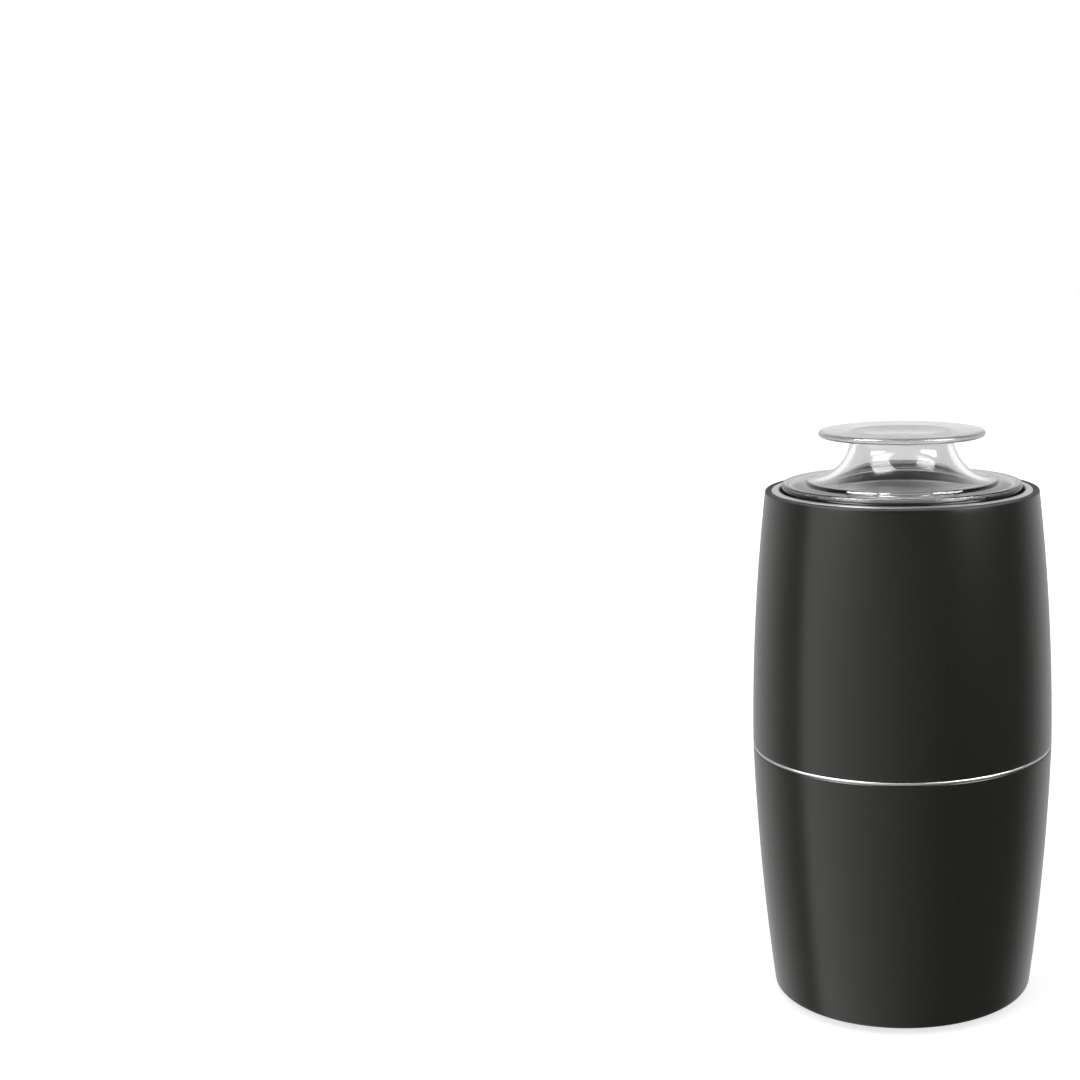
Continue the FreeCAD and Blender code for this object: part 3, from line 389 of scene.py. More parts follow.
@dataclass(frozen=True)
class MouldedPlastic(Finish):
    """Plastic from a fine grained mould, a little polished by hands, and matt at its rim."""

    grain: float = 0.00022
    depth: float = 0.000004
    flow: float = 26.0
    touch: float = 9.0
    handled: float = 0.05
    rim: Optional[float] = None
    rim_blend: float = 0.0004
    rim_matt: float = 0.42

    def fixed(self) -> dict:
        """The plastic's index."""
        return {"IOR": 1.5}

    def detail(self, sheet: Sheet, place: Wire) -> dict:
        """Works out grain, flow marks, the gloss of handling and the rim.

        Args:
            sheet: the material's tree.
            place: the place on the surface.

        Returns:
            The values by their sockets.
        """
        grain = sheet.noise(place, 1.0 / self.grain, 3.0, 0.6)
        flow = sheet.noise(place, self.flow, 4.0, 0.55)
        touch = sheet.noise(place, self.touch, 3.0, 0.6).between(0.35, 0.75)
        rough = (touch - 0.5) * self.handled + (flow - 0.5) * 0.04 + self.roughness
        if self.rim is not None:
            matt = sheet.parts(place)[2].between(self.rim, self.rim + self.rim_blend)
            rough = rough + matt * self.rim_matt
        return surface(self.tint(sheet, flow, 0.05), rough, sheet.bump(grain, self.depth, 0.6))


@dataclass(frozen=True)
class ClearPlastic(Finish):
    """Clear moulded plastic, with the slow ripples that the mould leaves.

    From a radius outwards, the low part of an edge has a painted shade, coloured dark like the shadow of the
    gap beside it.
    """

    ripple: float = 0.00002
    clear: float = 1.0
    waves: float = 60.0
    haze: float = 35.0
    # painted shade: from this radius outwards and below a height, the colour turns to the dark shade colour
    edge: Optional[float] = None
    painted_shade_top: float = 0.1694
    shade: Color = (0.0005, 0.0005, 0.0005)

    def fixed(self) -> dict:
        """How much light goes through, and the plastic's index."""
        return {"Transmission Weight": self.clear, "IOR": 1.49}

    def detail(self, sheet: Sheet, place: Wire) -> dict:
        """Works out ripples, haze and the painted shade on the low part of the edge.

        Args:
            sheet: the material's tree.
            place: the place on the surface.

        Returns:
            The values by their sockets.
        """
        ripple = sheet.noise(place, self.waves, 2.0, 0.4)
        haze = sheet.noise(place, self.haze, 4.0, 0.6).between(0.45, 0.9)
        color = self.tint(sheet, haze, 0.02)
        # painted shade: the low outer face of the edge is coloured dark for the shadow of the gap beside it
        if self.edge is not None:
            top, soft = self.painted_shade_top, 2 * PAINT_EDGE
            low = sheet.parts(place)[2].between(top + soft, top - soft)
            outer = sheet.radius(place).between(self.edge - PAINT_EDGE, self.edge + PAINT_EDGE)
            color = sheet.blend(outer * low, color, self.shade)
        rough = haze.spread(self.roughness, self.roughness * 2.2)
        return surface(color, rough, sheet.bump(ripple, self.ripple, 0.5))


@dataclass(frozen=True)
class SpunMetal(Finish):
    """Metal with fine lines round the axis, from turning, spinning or brushing."""

    fine: float = 9000.0
    depth: float = 0.000006
    uneven: float = 0.12
    cloud: float = 40.0

    def detail(self, sheet: Sheet, place: Wire) -> dict:
        """Works out the turned lines and a slow unevenness.

        Args:
            sheet: the material's tree.
            place: the place on the surface.

        Returns:
            The values by their sockets.
        """
        lines = sheet.rings(place, self.fine)
        cloud = sheet.noise(place, self.cloud, 3.0)
        rough = (lines - 0.5) * self.uneven + (cloud - 0.5) * 0.06 + self.roughness
        return surface(self.tint(sheet, cloud, 0.06), rough, sheet.bump(lines, self.depth, 0.5))


@dataclass(frozen=True)
class MetallisedRim(SpunMetal):
    """A dark moulding whose top face alone is metallised and spun."""

    edge: float = 0.0396
    bare: Color = (0.02, 0.02, 0.02)

    def detail(self, sheet: Sheet, place: Wire) -> dict:
        """Works out the spun metal, and takes it off inside the rim.

        Args:
            sheet: the material's tree.
            place: the place on the surface.

        Returns:
            The values by their sockets.
        """
        rim = sheet.radius(place).between(self.edge - PAINT_EDGE, self.edge + PAINT_EDGE)
        found = super().detail(sheet, place)
        found["Base Color"] = sheet.blend(rim, self.bare, found["Base Color"])
        return {**found, "Metallic": rim}


@dataclass(frozen=True)
class BrushedMetal(Finish):
    """Metal that is ground or drawn along one axis."""

    axis: Axis = Axis.X
    fine: float = 9000.0
    long: float = 120.0
    depth: float = 0.000006
    cloud: float = 70.0

    def detail(self, sheet: Sheet, place: Wire) -> dict:
        """Works out the strokes and a slow unevenness.

        Args:
            sheet: the material's tree.
            place: the place on the surface.

        Returns:
            The values by their sockets.
        """
        lines = sheet.streaks(place, self.axis, self.fine, self.long)
        cloud = sheet.noise(place, self.cloud, 3.0)
        rough = (lines - 0.5) * 0.16 + (cloud - 0.5) * 0.08 + self.roughness
        return surface(self.tint(sheet, cloud, 0.08), rough, sheet.bump(lines, self.depth, 0.6))


@dataclass(frozen=True)
class PlatedSteel(Finish):
    """Zinc plated steel, whose colour drifts between blue and straw."""

    cloud: float = 220.0
    crystals: float = 2600.0
    depth: float = 0.000008
    blue: Color = (0.93, 0.98, 1.06)
    straw: Color = (1.05, 1.0, 0.88)

    def detail(self, sheet: Sheet, place: Wire) -> dict:
        """Works out the drifting colour and the crystals.

        Args:
            sheet: the material's tree.
            place: the place on the surface.

        Returns:
            The values by their sockets.
        """
        cloud = sheet.noise(place, self.cloud, 3.0)
        crystals = sheet.noise(place, self.crystals, 2.0)
        blue, straw = (
            tuple(value * factor for value, factor in zip(self.color, cast))
            for cast in (self.blue, self.straw)
        )
        rough = (cloud - 0.5) * 0.2 + self.roughness
        return surface(sheet.blend(cloud, blue, straw), rough, sheet.bump(crystals, self.depth, 0.5))


@dataclass(frozen=True)
class Rubber(Finish):
    """Matt rubber with a fine bloom on it."""

    grain: float = 5200.0
    bloom: float = 130.0
    depth: float = 0.00002

    def detail(self, sheet: Sheet, place: Wire) -> dict:
        """Works out the grain and the bloom.

        Args:
            sheet: the material's tree.
            place: the place on the surface.

        Returns:
            The values by their sockets.
        """
        grain = sheet.noise(place, self.grain, 3.0, 0.65)
        bloom = sheet.noise(place, self.bloom, 4.0).between(0.4, 0.8)
        rough = bloom.spread(self.roughness - 0.08, self.roughness + 0.08)
        return surface(self.tint(sheet, bloom, 0.25), rough, sheet.bump(grain, self.depth, 0.6))


@dataclass(frozen=True)
class Laminations(Finish):
    """A stack of thin steel sheets, seen on edge as fine lines."""

    pitch: float = 0.0005
    oxide: float = 150.0
    depth: float = 0.00005

    def detail(self, sheet: Sheet, place: Wire) -> dict:
        """Works out the sheets' edges and the oxide on them.

        Args:
            sheet: the material's tree.
            place: the place on the surface.

        Returns:
            The values by their sockets.
        """
        sheets = (sheet.parts(place)[2] * (math.tau / self.pitch)).sine().between(-1.0, -0.3)
        oxide = sheet.noise(place, self.oxide, 4.0)
        color = self.tint(sheet, sheets * 0.7 + oxide * 0.3, 0.35)
        rough = oxide.spread(self.roughness - 0.08, self.roughness + 0.1)
        return surface(color, rough, sheet.bump(sheets, self.depth, 0.7))


@dataclass(frozen=True)
class Windings(Finish):
    """Enamelled wire laid side by side, shiny along each turn."""

    axis: Axis = Axis.X
    pitch: float = 0.0005
    wander: float = 300.0
    depth: float = 0.00014

    def fixed(self) -> dict:
        """The enamel's coat."""
        return {"Coat Weight": 0.6, "Coat Roughness": 0.15}

    def detail(self, sheet: Sheet, place: Wire) -> dict:
        """Works out the turns, which wander a little, with painted shade in the grooves between them and a
        painted highlight on their crests.

        Args:
            sheet: the material's tree.
            place: the place on the surface.

        Returns:
            The values by their sockets.
        """
        wander = sheet.noise(place, self.wander, 2.0) * 1.6
        across = sheet.parts(place)[self.axis.value] * (math.tau / self.pitch)
        turns = (across + wander).sine()
        # painted shade and highlight: the colour is darker in the grooves between turns and lighter on their
        # crests
        shade = turns.between(-1.0, 0.4)
        rough = shade.spread(self.roughness + 0.15, self.roughness)
        return surface(self.tint(sheet, shade, 0.45), rough, sheet.bump(turns, self.depth, 0.8))


@dataclass(frozen=True)
class Grainy(Finish):
    """Cast, sintered or pressed material, with pores of one size."""

    pores: float = 1400.0
    depth: float = 0.00004
    cloud: float = 110.0

    def detail(self, sheet: Sheet, place: Wire) -> dict:
        """Works out the pores and a slow unevenness.

        Args:
            sheet: the material's tree.
            place: the place on the surface.

        Returns:
            The values by their sockets.
        """
        pits = sheet.cells(place, self.pores).between(0.05, 0.45)
        cloud = sheet.noise(place, self.cloud, 4.0)
        color = self.tint(sheet, pits * 0.5 + cloud * 0.5, 0.22)
        rough = pits.spread(self.roughness + 0.12, self.roughness - 0.05)
        return surface(color, rough, sheet.bump(pits, self.depth, 0.5))


SHELL = MouldedPlastic(
    "anthracite_plastic", (0.0155, 0.0147, 0.0112), 0.27, grain=0.0006, depth=0.000002, rim=0.1677
)
INNER = MouldedPlastic("black_plastic", (0.02, 0.02, 0.021), 0.45, grain=0.0004, depth=0.00001)
NATURAL = MouldedPlastic("natural_plastic", (0.62, 0.60, 0.54), 0.42, grain=0.0004)
RED = MouldedPlastic("red_plastic", (0.42, 0.03, 0.02), 0.25)
# the lid's low outer edge gets a painted shade for the shadow of the gap beside it
CLEAR = ClearPlastic("clear_plastic", (0.93, 0.935, 0.935), 0.015, edge=0.03825)
CLOUDED = ClearPlastic("clouded_plastic", (0.92, 0.925, 0.925), 0.12, ripple=0.00005, clear=0.88)
BRIGHT = SpunMetal("bright_ring", (0.62, 0.63, 0.62), 0.42, 1.0, fine=12000.0, depth=0.000002)
SATIN = MetallisedRim("satin_collar", (0.60, 0.61, 0.62), 0.32, 1.0, depth=0.000004)
BOWL = SpunMetal("bowl_steel", (0.34, 0.34, 0.335), 0.2, 1.0, fine=5000.0)
BLADE = BrushedMetal("blade_steel", (0.62, 0.62, 0.61), 0.24, 1.0)
ZINC = PlatedSteel("zinc_steel", (0.56, 0.57, 0.58), 0.34, 1.0)
SPRING = BrushedMetal("spring_steel", (0.36, 0.36, 0.37), 0.3, 1.0, axis=Axis.Z)
GROUND = SpunMetal("ground_steel", (0.55, 0.55, 0.55), 0.22, 1.0, fine=16000.0, depth=0.000003)
CORE = Laminations("core_steel", (0.22, 0.23, 0.25), 0.42, 0.9)
FIELD = Windings("field_wire", (0.42, 0.13, 0.05), 0.3, 0.6, axis=Axis.X)
TURNS = Windings("armature_wire", (0.42, 0.14, 0.05), 0.3, 0.6, axis=Axis.Z, pitch=0.0006)
COPPER = SpunMetal("copper_bars", (0.62, 0.28, 0.16), 0.28, 1.0, fine=12000.0)
BRONZE = Grainy("sintered_bronze", (0.36, 0.22, 0.10), 0.4, 1.0)
CAST = Grainy("cast_alloy", (0.42, 0.43, 0.44), 0.45, 1.0, pores=900.0)
BRASS = BrushedMetal("pressed_brass", (0.62, 0.44, 0.16), 0.3, 1.0)
CARBON = Grainy("carbon", (0.03, 0.03, 0.032), 0.55, 0.0, pores=3000.0, depth=0.00001)
RUBBER = Rubber("black_rubber", (0.018, 0.018, 0.018), 0.72)


# Shapes


class Outline:
    """A closed outline of radius against height, whose corners can be rounded."""

    def __init__(self) -> None:
        """Starts without a corner."""
        self.corners: list[tuple[Vector, float]] = []

    def to(self, radius: float, height: float, rounding: float = 0.0) -> "Outline":
        """Goes on to a corner.

        Args:
            radius: the corner's distance from the axis.
            height: its height.
            rounding: how far its point is rounded off.

        Returns:
            The outline itself.
        """
        self.corners.append((Vector((radius, height)), rounding))
        return self

    def arc(
        self, centre: Sequence[float], bend: float, first: float, last: float, steps: int
    ) -> "Outline":
        """Goes round a centre.

        Args:
            centre: the centre's radius and height.
            bend: the arc's own radius.
            first: the angle in degrees where it begins.
            last: the angle where it ends.
            steps: how many straight steps it takes.

        Returns:
            The outline itself.
        """
        for step in range(steps + 1):
            turn = math.radians(first + (last - first) * step / steps)
            self.to(centre[0] + bend * math.cos(turn), centre[1] + bend * math.sin(turn))
        return self

    def points(self, steps: int = 6) -> list[Vector]:
        """Works out the outline's points.

        Args:
            steps: how many steps each rounded corner takes.

        Returns:
            The points in order.
        """
        found = []
        count = len(self.corners)
        for index, (corner, rounding) in enumerate(self.corners):
            if rounding <= 0.0:
                found.append(corner)
                continue
            back = self.corners[index - 1][0] - corner
            on = self.corners[(index + 1) % count][0] - corner
            half = back.angle(on) / 2
            reach = min(rounding / math.tan(half), back.length / 2, on.length / 2)
            start, end = corner + back.normalized() * reach, corner + on.normalized() * reach
            bend = reach * math.tan(half)
            bulge = (corner - (start + end) / 2).normalized()
            centre = corner - bulge * (bend / math.sin(half))
            turn = (start - centre).angle_signed(end - centre)
            for step in range(steps + 1):
                found.append(centre + Matrix.Rotation(-turn * step / steps, 2) @ (start - centre))
        return found


@dataclass
class Side:
    """The barrelled side of a shell, between two radii at two heights."""

    low: tuple[float, float]
    high: tuple[float, float]
    bulge: float

    def __post_init__(self) -> None:
        """Finds the circle through both ends that bulges by the given height."""
        start = Vector(self.low)
        chord = Vector(self.high) - start
        middle = chord / 2 + Vector((self.bulge, 0.0))
        double = 2 * (middle.x * chord.y - middle.y * chord.x)
        x = (chord.y * middle.length_squared - middle.y * chord.length_squared) / double
        y = (middle.x * chord.length_squared - chord.x * middle.length_squared) / double
        self.centre = start + Vector((x, y))
        self.bend = math.hypot(x, y)

    def radius(self, height: float, inset: float = 0.0) -> float:
        """The side's radius at a height, or that of a wall's inside."""
        return self.centre.x + math.sqrt(self.bend**2 - (height - self.centre.y) ** 2) - inset

    def run(self, outline: Outline, start: float, end: float, inset: float = 0.0) -> Outline:
        """Draws the side, without the corners at its ends.

        Args:
            outline: what it is added to.
            start: the height where it begins.
            end: the height where it ends.
            inset: how far inside the side it runs.

        Returns:
            The outline.
        """
        for step in range(1, SIDE_STEPS):
            height = start + (end - start) * step / SIDE_STEPS
            outline.to(self.radius(height, inset), height)
        return outline


def fresh(add: Callable[..., set], **settings: object) -> bpy.types.Object:
    """Adds a primitive, with nothing else selected.

    Args:
        add: the operator that adds it.
        settings: the operator's settings.

    Returns:
        The new object, with its place in its mesh.
    """
    bpy.ops.object.select_all(action="DESELECT")
    add(**settings)
    bpy.ops.object.transform_apply()
    return bpy.context.object


def alone(work: bpy.types.Object) -> None:
    """Makes one object the active one and the only one selected.

    Args:
        work: the object.
    """
    bpy.ops.object.select_all(action="DESELECT")
    bpy.context.view_layer.objects.active = work
    work.select_set(True)


def turned(outline: Outline, segments: int = 160, steps: int = 6) -> bpy.types.Object:
    """Extrudes an outline point by point and spins it round the Z axis.

    Args:
        outline: the outline, in millimetres.
        segments: how many steps round the axis.
        steps: how many steps in each rounded corner.

    Returns:
        The closed solid, in metres.
    """
    points = outline.points(steps)
    if points[0].x > ON_AXIS or points[-1].x > ON_AXIS:
        points.append(points[0])
    first = points[0] * MM
    work = fresh(bpy.ops.mesh.primitive_plane_add, size=MM, location=(first.x, 0.0, first.y))
    bpy.ops.object.mode_set(mode="EDIT")
    bpy.ops.mesh.merge(type="CENTER")
    for before, point in zip(points, points[1:]):
        step = (point - before) * MM
        bpy.ops.mesh.extrude_region_move(TRANSFORM_OT_translate={"value": (step.x, 0.0, step.y)})
    bpy.ops.mesh.select_all(action="SELECT")
    bpy.ops.mesh.remove_doubles(threshold=WELD)
    bpy.ops.mesh.spin(steps=segments, angle=math.tau, center=(0.0, 0.0, 0.0), axis=(0.0, 0.0, 1.0))
    close_up()
    return work


def close_up() -> None:
    """Welds the mesh that is being edited, points its faces outwards and leaves edit mode."""
    bpy.ops.mesh.select_all(action="SELECT")
    bpy.ops.mesh.remove_doubles(threshold=WELD)
    bpy.ops.mesh.normals_make_consistent(inside=False)
    bpy.ops.object.mode_set(mode="OBJECT")


def rod(radius: float, low: float, high: float, segments: int = 48) -> bpy.types.Object:
    """A rod on the Z axis, as a tool to cut with."""
    outline = Outline().to(0, low).to(radius, low).to(radius, high).to(0, high)
    return turned(outline, segments, 3)


def tube(inner: float, outer: float, low: float, high: float, segments: int = 48) -> bpy.types.Object:
    """A short pipe on the Z axis with softened edges."""
    outline = Outline().to(inner, low, 0.15).to(outer, low, 0.15).to(outer, high, 0.15).to(inner, high, 0.15)
    return turned(outline, segments, 3)


def slab(low: Sequence[float], high: Sequence[float]) -> bpy.types.Object:
    """A block between two corners in millimetres.

    Args:
        low: its lowest corner.
        high: its highest corner.

    Returns:
        The block, in metres.
    """
    size = [(b - a) * MM for a, b in zip(low, high)]
    middle = [(a + b) / 2 * MM for a, b in zip(low, high)]
    return fresh(bpy.ops.mesh.primitive_cube_add, size=1.0, location=middle, scale=size)


def moved(work: bpy.types.Object, matrix: Matrix) -> bpy.types.Object:
    """Puts a solid somewhere else.

    Args:
        work: the solid.
        matrix: where it goes.

    Returns:
        The same solid, with the new place in its mesh.
    """
    alone(work)
    work.matrix_world = matrix
    bpy.ops.object.transform_apply()
    return work


def at(radius: float, angle: float) -> Matrix:
    """The place at a distance from the Z axis in millimetres and an angle in degrees."""
    turn = Matrix.Rotation(math.radians(angle), 4, "Z")
    return turn @ Matrix.Translation((radius * MM, 0.0, 0.0))


def twin(work: bpy.types.Object) -> bpy.types.Object:
    """A copy of a solid with a mesh of its own.

    Args:
        work: the solid.

    Returns:
        The copy.
    """
    made = work.copy()
    made.data = work.data.copy()
    bpy.context.scene.collection.objects.link(made)
    return made


def spaced(work: bpy.types.Object, circle: float, angles: Sequence[float]) -> list[bpy.types.Object]:
    """Copies a solid to places on a circle round the Z axis.

    Args:
        work: the solid, which goes to the first place.
        circle: the circle's radius in millimetres.
        angles: the places, in degrees.

    Returns:
        The solids.
    """
    solids = [work, *(twin(work) for _ in angles[1:])]
    return [moved(solid, at(circle, angle)) for solid, angle in zip(solids, angles)]


def joined(first: bpy.types.Object, *others: bpy.types.Object) -> bpy.types.Object:
    """Several solids as one object.

    Args:
        first: the solid that takes the others in.
        others: the solids that go into it.

    Returns:
        The first solid.
    """
    alone(first)
    for other in others:
        other.select_set(True)
    bpy.ops.object.join()
    return first


def modified(work: bpy.types.Object, kind: str, **settings: object) -> bpy.types.Object:
    """Adds one modifier and applies it.

    Args:
        work: the solid.
        kind: the modifier's type.
        settings: its properties.

    Returns:
        The same solid.
    """
    step = work.modifiers.new("step", kind)
    for name, value in settings.items():
        setattr(step, name, value)
    alone(work)
    bpy.ops.object.modifier_apply(modifier=step.name)
    return work


def cut(work: bpy.types.Object, tool: bpy.types.Object) -> bpy.types.Object:
    """Takes the space that a tool fills out of a solid.

    Args:
        work: the solid.
        tool: the tool, which is used up.

    Returns:
        The same solid.
    """
    modified(work, "BOOLEAN", operation="DIFFERENCE", solver="EXACT", object=tool)
    alone(tool)
    bpy.ops.object.delete()
    return work


def softened(work: bpy.types.Object, width: float, steps: int = 2, angle: float = 32.0) -> bpy.types.Object:
    """Turns the sharp edges of a solid into narrow round ones.

    Args:
        work: what has the edges.
        width: how wide they become, in millimetres.
        steps: how many faces each gets.
        angle: the least angle in degrees between the faces of a sharp edge.

    Returns:
        The same solid.
    """
    settings = {"limit_method": "ANGLE", "angle_limit": math.radians(angle), "use_clamp_overlap": True}
    return modified(work, "BEVEL", width=width * MM, segments=steps, **settings)


def copied(node: str) -> bpy.types.Object:
    """Copies a node's solid and welds it, so that its flat faces are whole again.

    Args:
        node: the node's name.

    Returns:
        The copy.
    """
    work = bpy.data.objects.new(node + "_copy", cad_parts[node].data.copy())
    bpy.context.scene.collection.objects.link(work)
    alone(work)
    bpy.ops.object.mode_set(mode="EDIT")
    bpy.ops.mesh.select_all(action="SELECT")
    bpy.ops.mesh.remove_doubles(threshold=WELD * 2)
    bpy.ops.mesh.dissolve_limited(angle_limit=math.radians(FLAT_ANGLE))
    bpy.ops.object.mode_set(mode="OBJECT")
    return work


def piece(
    name: str, work: bpy.types.Object, finish: Finish, body: Body, *nodes: str, sharp: float = 32.0
) -> bpy.types.Object:
    """Finishes one piece of the scene.

    Args:
        name: the piece's name.
        work: its solid.
        finish: what it is made of.
        body: the body it rides on.
        nodes: the nodes it stands for.
        sharp: the least angle in degrees of an edge that stays sharp.

    Returns:
        The piece.
    """
    work.name = work.data.name = name
    work.data.materials.clear()
    work.data.materials.append(finish.material())
    alone(work)
    bpy.ops.object.shade_smooth_by_angle(angle=math.radians(sharp))
    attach(work, body.value)
    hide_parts(*nodes)
    LOG.info("%s: %d faces in %s", name, len(work.data.polygons), finish.name)
    return work


def dress(finish: Finish, *nodes: str) -> None:
    """Gives nodes that keep their solids a finish.

    Args:
        finish: what they are made of.
        nodes: their names.
    """
    for node in nodes:
        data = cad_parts[node].data
        data.materials.clear()
        data.materials.append(finish.material())
        LOG.info("%s: dressed in %s", node, finish.name)


# Sub-assemblies


@dataclass(frozen=True)
class Posts:
    """A circle of screw posts inside a shell, each with a web out to the wall."""

    circle: float
    low: float
    high: float
    hole: float
    reach: float
    angles: tuple[float, ...] = THIRDS
    radius: float = 3.6
    web_start: float = 3.4
    web_half: float = 1.0

    def build(self) -> list[bpy.types.Object]:
        """Makes one post and copies it round the circle.

        Returns:
            The posts.
        """
        start = (self.web_start, -self.web_half, self.low)
        end = (self.reach - self.circle, self.web_half, self.high)
        web = softened(slab(start, end), 0.2)
        post = joined(tube(self.hole, self.radius, self.low, self.high), web)
        return spaced(post, self.circle, self.angles)


@dataclass
class Shells:
    """The two dark halves of the barrel and the bright ring between them."""

    base_z: float = 2.0
    seam_z: float = 84.4
    upper_z: float = 85.3
    rim_z: float = 168.4
    seam_radius: float = 49.0
    base_radius: float = 42.8
    rim_radius: float = 43.8
    lower_bulge: float = 1.0
    upper_bulge: float = 1.23
    base_bend: float = 3.1
    wall: float = 2.2
    lip_radius: float = 38.6
    lip_height: float = 3.0
    inlet_height: float = 18.0
    inlet_radius: float = 5.35
    inlet_start: float = 34.0
    inlet_depth: float = 20.0
    spigot_outer: float = 46.65
    spigot_inner: float = 44.95
    spigot_z: float = 81.0
    inner_z: float = 88.7
    ledge_z: float = 160.7
    ledge_radius: float = 40.75
    seat_z: float = 166.4
    seat_radius: float = 41.95
    guide_low: tuple[float, float] = (34.7, 103.2)
    guide_high: tuple[float, float] = (46.4, 143.2)
    guide_sides: tuple[float, float] = (-4.1, 2.5)
    guide_thick: float = 1.6
    ring_outer: float = 48.9
    ring_inner: float = 46.8
    seam_posts: Posts = Posts(38.6, 61.0, 78.0, 1.65, 46.4)
    cover_posts: Posts = Posts(33.6, 4.7, 13.7, 1.5, 41.6, (0, 180, 270))
    upper_posts: Posts = Posts(38.6, 81.0, 98.0, 1.5, 45.8)

    def __post_init__(self) -> None:
        """Draws the sides of both shells."""
        seam, upper = (self.seam_radius, self.seam_z), (self.seam_radius, self.upper_z)
        self.lower = Side((self.base_radius, self.base_z), seam, self.lower_bulge)
        self.upper = Side(upper, (self.rim_radius, self.rim_z), self.upper_bulge)

    def lower_shell(self) -> bpy.types.Object:
        """Makes the motor's half, with the round opening for the cord's bush.

        Returns:
            The shell.
        """
        floor = self.base_z + self.lip_height
        outline = Outline().to(self.lip_radius, self.base_z, 0.3)
        outline.to(self.base_radius, self.base_z, self.base_bend)
        self.lower.run(outline, self.base_z, self.seam_z)
        outline.to(self.seam_radius, self.seam_z, 0.35).to(self.seam_radius - self.wall, self.seam_z)
        self.lower.run(outline, self.seam_z, floor, self.wall)
        outline.to(self.lower.radius(floor, self.wall), floor, 0.4).to(self.lip_radius, floor, 0.2)
        start = Matrix.Translation((0, self.inlet_start * MM, self.inlet_height * MM))
        turn = Matrix.Rotation(math.radians(-90), 4, "X")
        drill = moved(rod(self.inlet_radius, 0, self.inlet_depth), start @ turn)
        shell = cut(turned(outline, SHELL_STEPS), drill)
        return joined(shell, *self.seam_posts.build(), *self.cover_posts.build())

    def upper_shell(self) -> bpy.types.Object:
        """Makes the bowl's half, with the collar's seat at its rim and two guides for the rod.

        Returns:
            The shell.
        """
        slope_z = self.ledge_z - (self.upper.radius(self.ledge_z, self.wall) - self.ledge_radius)
        outline = Outline().to(self.seam_radius, self.upper_z, 0.35)
        self.upper.run(outline, self.upper_z, self.rim_z)
        outline.to(self.rim_radius, self.rim_z, 0.55).to(self.seat_radius, self.rim_z, 0.5)
        outline.to(self.seat_radius, self.seat_z).to(self.ledge_radius, self.seat_z)
        outline.to(self.ledge_radius, self.ledge_z).to(self.upper.radius(slope_z, self.wall), slope_z)
        self.upper.run(outline, slope_z, self.inner_z, self.wall)
        outline.to(self.spigot_inner, self.inner_z).to(self.spigot_inner, self.spigot_z, 0.3)
        outline.to(self.spigot_outer, self.spigot_z, 0.3).to(self.spigot_outer, self.upper_z)
        guides = [
            softened(slab((side, *self.guide_low), (side + self.guide_thick, *self.guide_high)), 0.25)
            for side in self.guide_sides
        ]
        posts = self.upper_posts.build()
        return joined(turned(outline, SHELL_STEPS), *posts, *guides)

    def bright_ring(self) -> bpy.types.Object:
        """Makes the ring in the seam, with a rounded outer face.

        Returns:
            The ring.
        """
        low, high = self.seam_z, self.upper_z
        outline = Outline().to(self.ring_inner, low).to(self.ring_outer, low, 0.3)
        return turned(outline.to(self.ring_outer, high, 0.3).to(self.ring_inner, high), SHELL_STEPS, 8)

    def build(self) -> None:
        """Makes the pieces."""
        piece("lower_shell", self.lower_shell(), SHELL, Body.HOUSING, "lower_housing")
        piece("upper_shell", self.upper_shell(), SHELL, Body.HOUSING, "upper_housing")
        piece("seam_ring", self.bright_ring(), BRIGHT, Body.HOUSING, "trim_ring")


@dataclass
class Collar:
    """The satin ring at the rim, with the recess and the spring cups under it."""

    outer: float = 41.8
    inner: float = 39.1
    rim_z: float = 168.4
    crown: float = 0.25
    crown_steps: int = 6
    seat_z: float = 166.4
    body_radius: float = 40.6
    floor_z: float = 162.2
    under_z: float = 160.7
    bowl_side: float = 33.1
    cup_circle: float = 36.85
    cup_radius: float = 2.275
    cup_outer: float = 3.175
    cup_under: float = 150.3
    cup_floor: float = 151.2
    cup_top: float = 160.9
    cup_mouth: float = 161.9
    cup_steps: int = 40
    drill: tuple[float, float] = (155, 162.9)
    slot_low: tuple[float, float, float] = (-2.5, 35.25, 158)
    slot_high: tuple[float, float, float] = (2.5, 38.45, 163)

    def ring(self) -> bpy.types.Object:
        """Makes the ring with its crowned top face.

        Returns:
            The ring.
        """
        edge, top = self.crown, self.rim_z
        outline = Outline().to(self.bowl_side, self.floor_z, 0.2).to(self.inner, self.floor_z, 0.3)
        outline.to(self.inner, top - edge, 0.15).to(self.inner + edge, top, 0.1)
        middle, half = (self.inner + self.outer) / 2, (self.outer - self.inner) / 2 - edge
        for step in range(1, 2 * self.crown_steps):
            share = step / self.crown_steps - 1
            outline.to(middle + half * share, top + self.crown * (1 - share * share))
        outline.to(self.outer - edge, top, 0.1).to(self.outer, top - edge, 0.15)
        outline.to(self.outer, self.seat_z).to(self.body_radius, self.seat_z)
        outline.to(self.body_radius, self.under_z, 0.3).to(self.bowl_side, self.under_z, 0.3)
        return turned(outline, RING_STEPS)

    def cup(self) -> bpy.types.Object:
        """Makes one of the cups that the springs stand in.

        Returns:
            The cup.
        """
        outline = Outline().to(0, self.cup_under).to(self.cup_outer, self.cup_under, 0.4)
        outline.to(self.cup_outer, self.cup_top).to(self.cup_radius, self.cup_mouth)
        return turned(outline.to(self.cup_radius, self.cup_floor, 0.3).to(0, self.cup_floor), self.cup_steps)

    def build(self) -> None:
        """Makes the ring, opens it for the cups and the rod, and adds the cups."""
        body = self.ring()
        for tool in spaced(rod(self.cup_radius, *self.drill, self.cup_steps), self.cup_circle, THIRDS):
            cut(body, tool)
        cups = spaced(self.cup(), self.cup_circle, THIRDS)
        cut(body, slab(self.slot_low, self.slot_high))
        piece("collar_ring", joined(body, *cups), SATIN, Body.HOUSING, "collar")


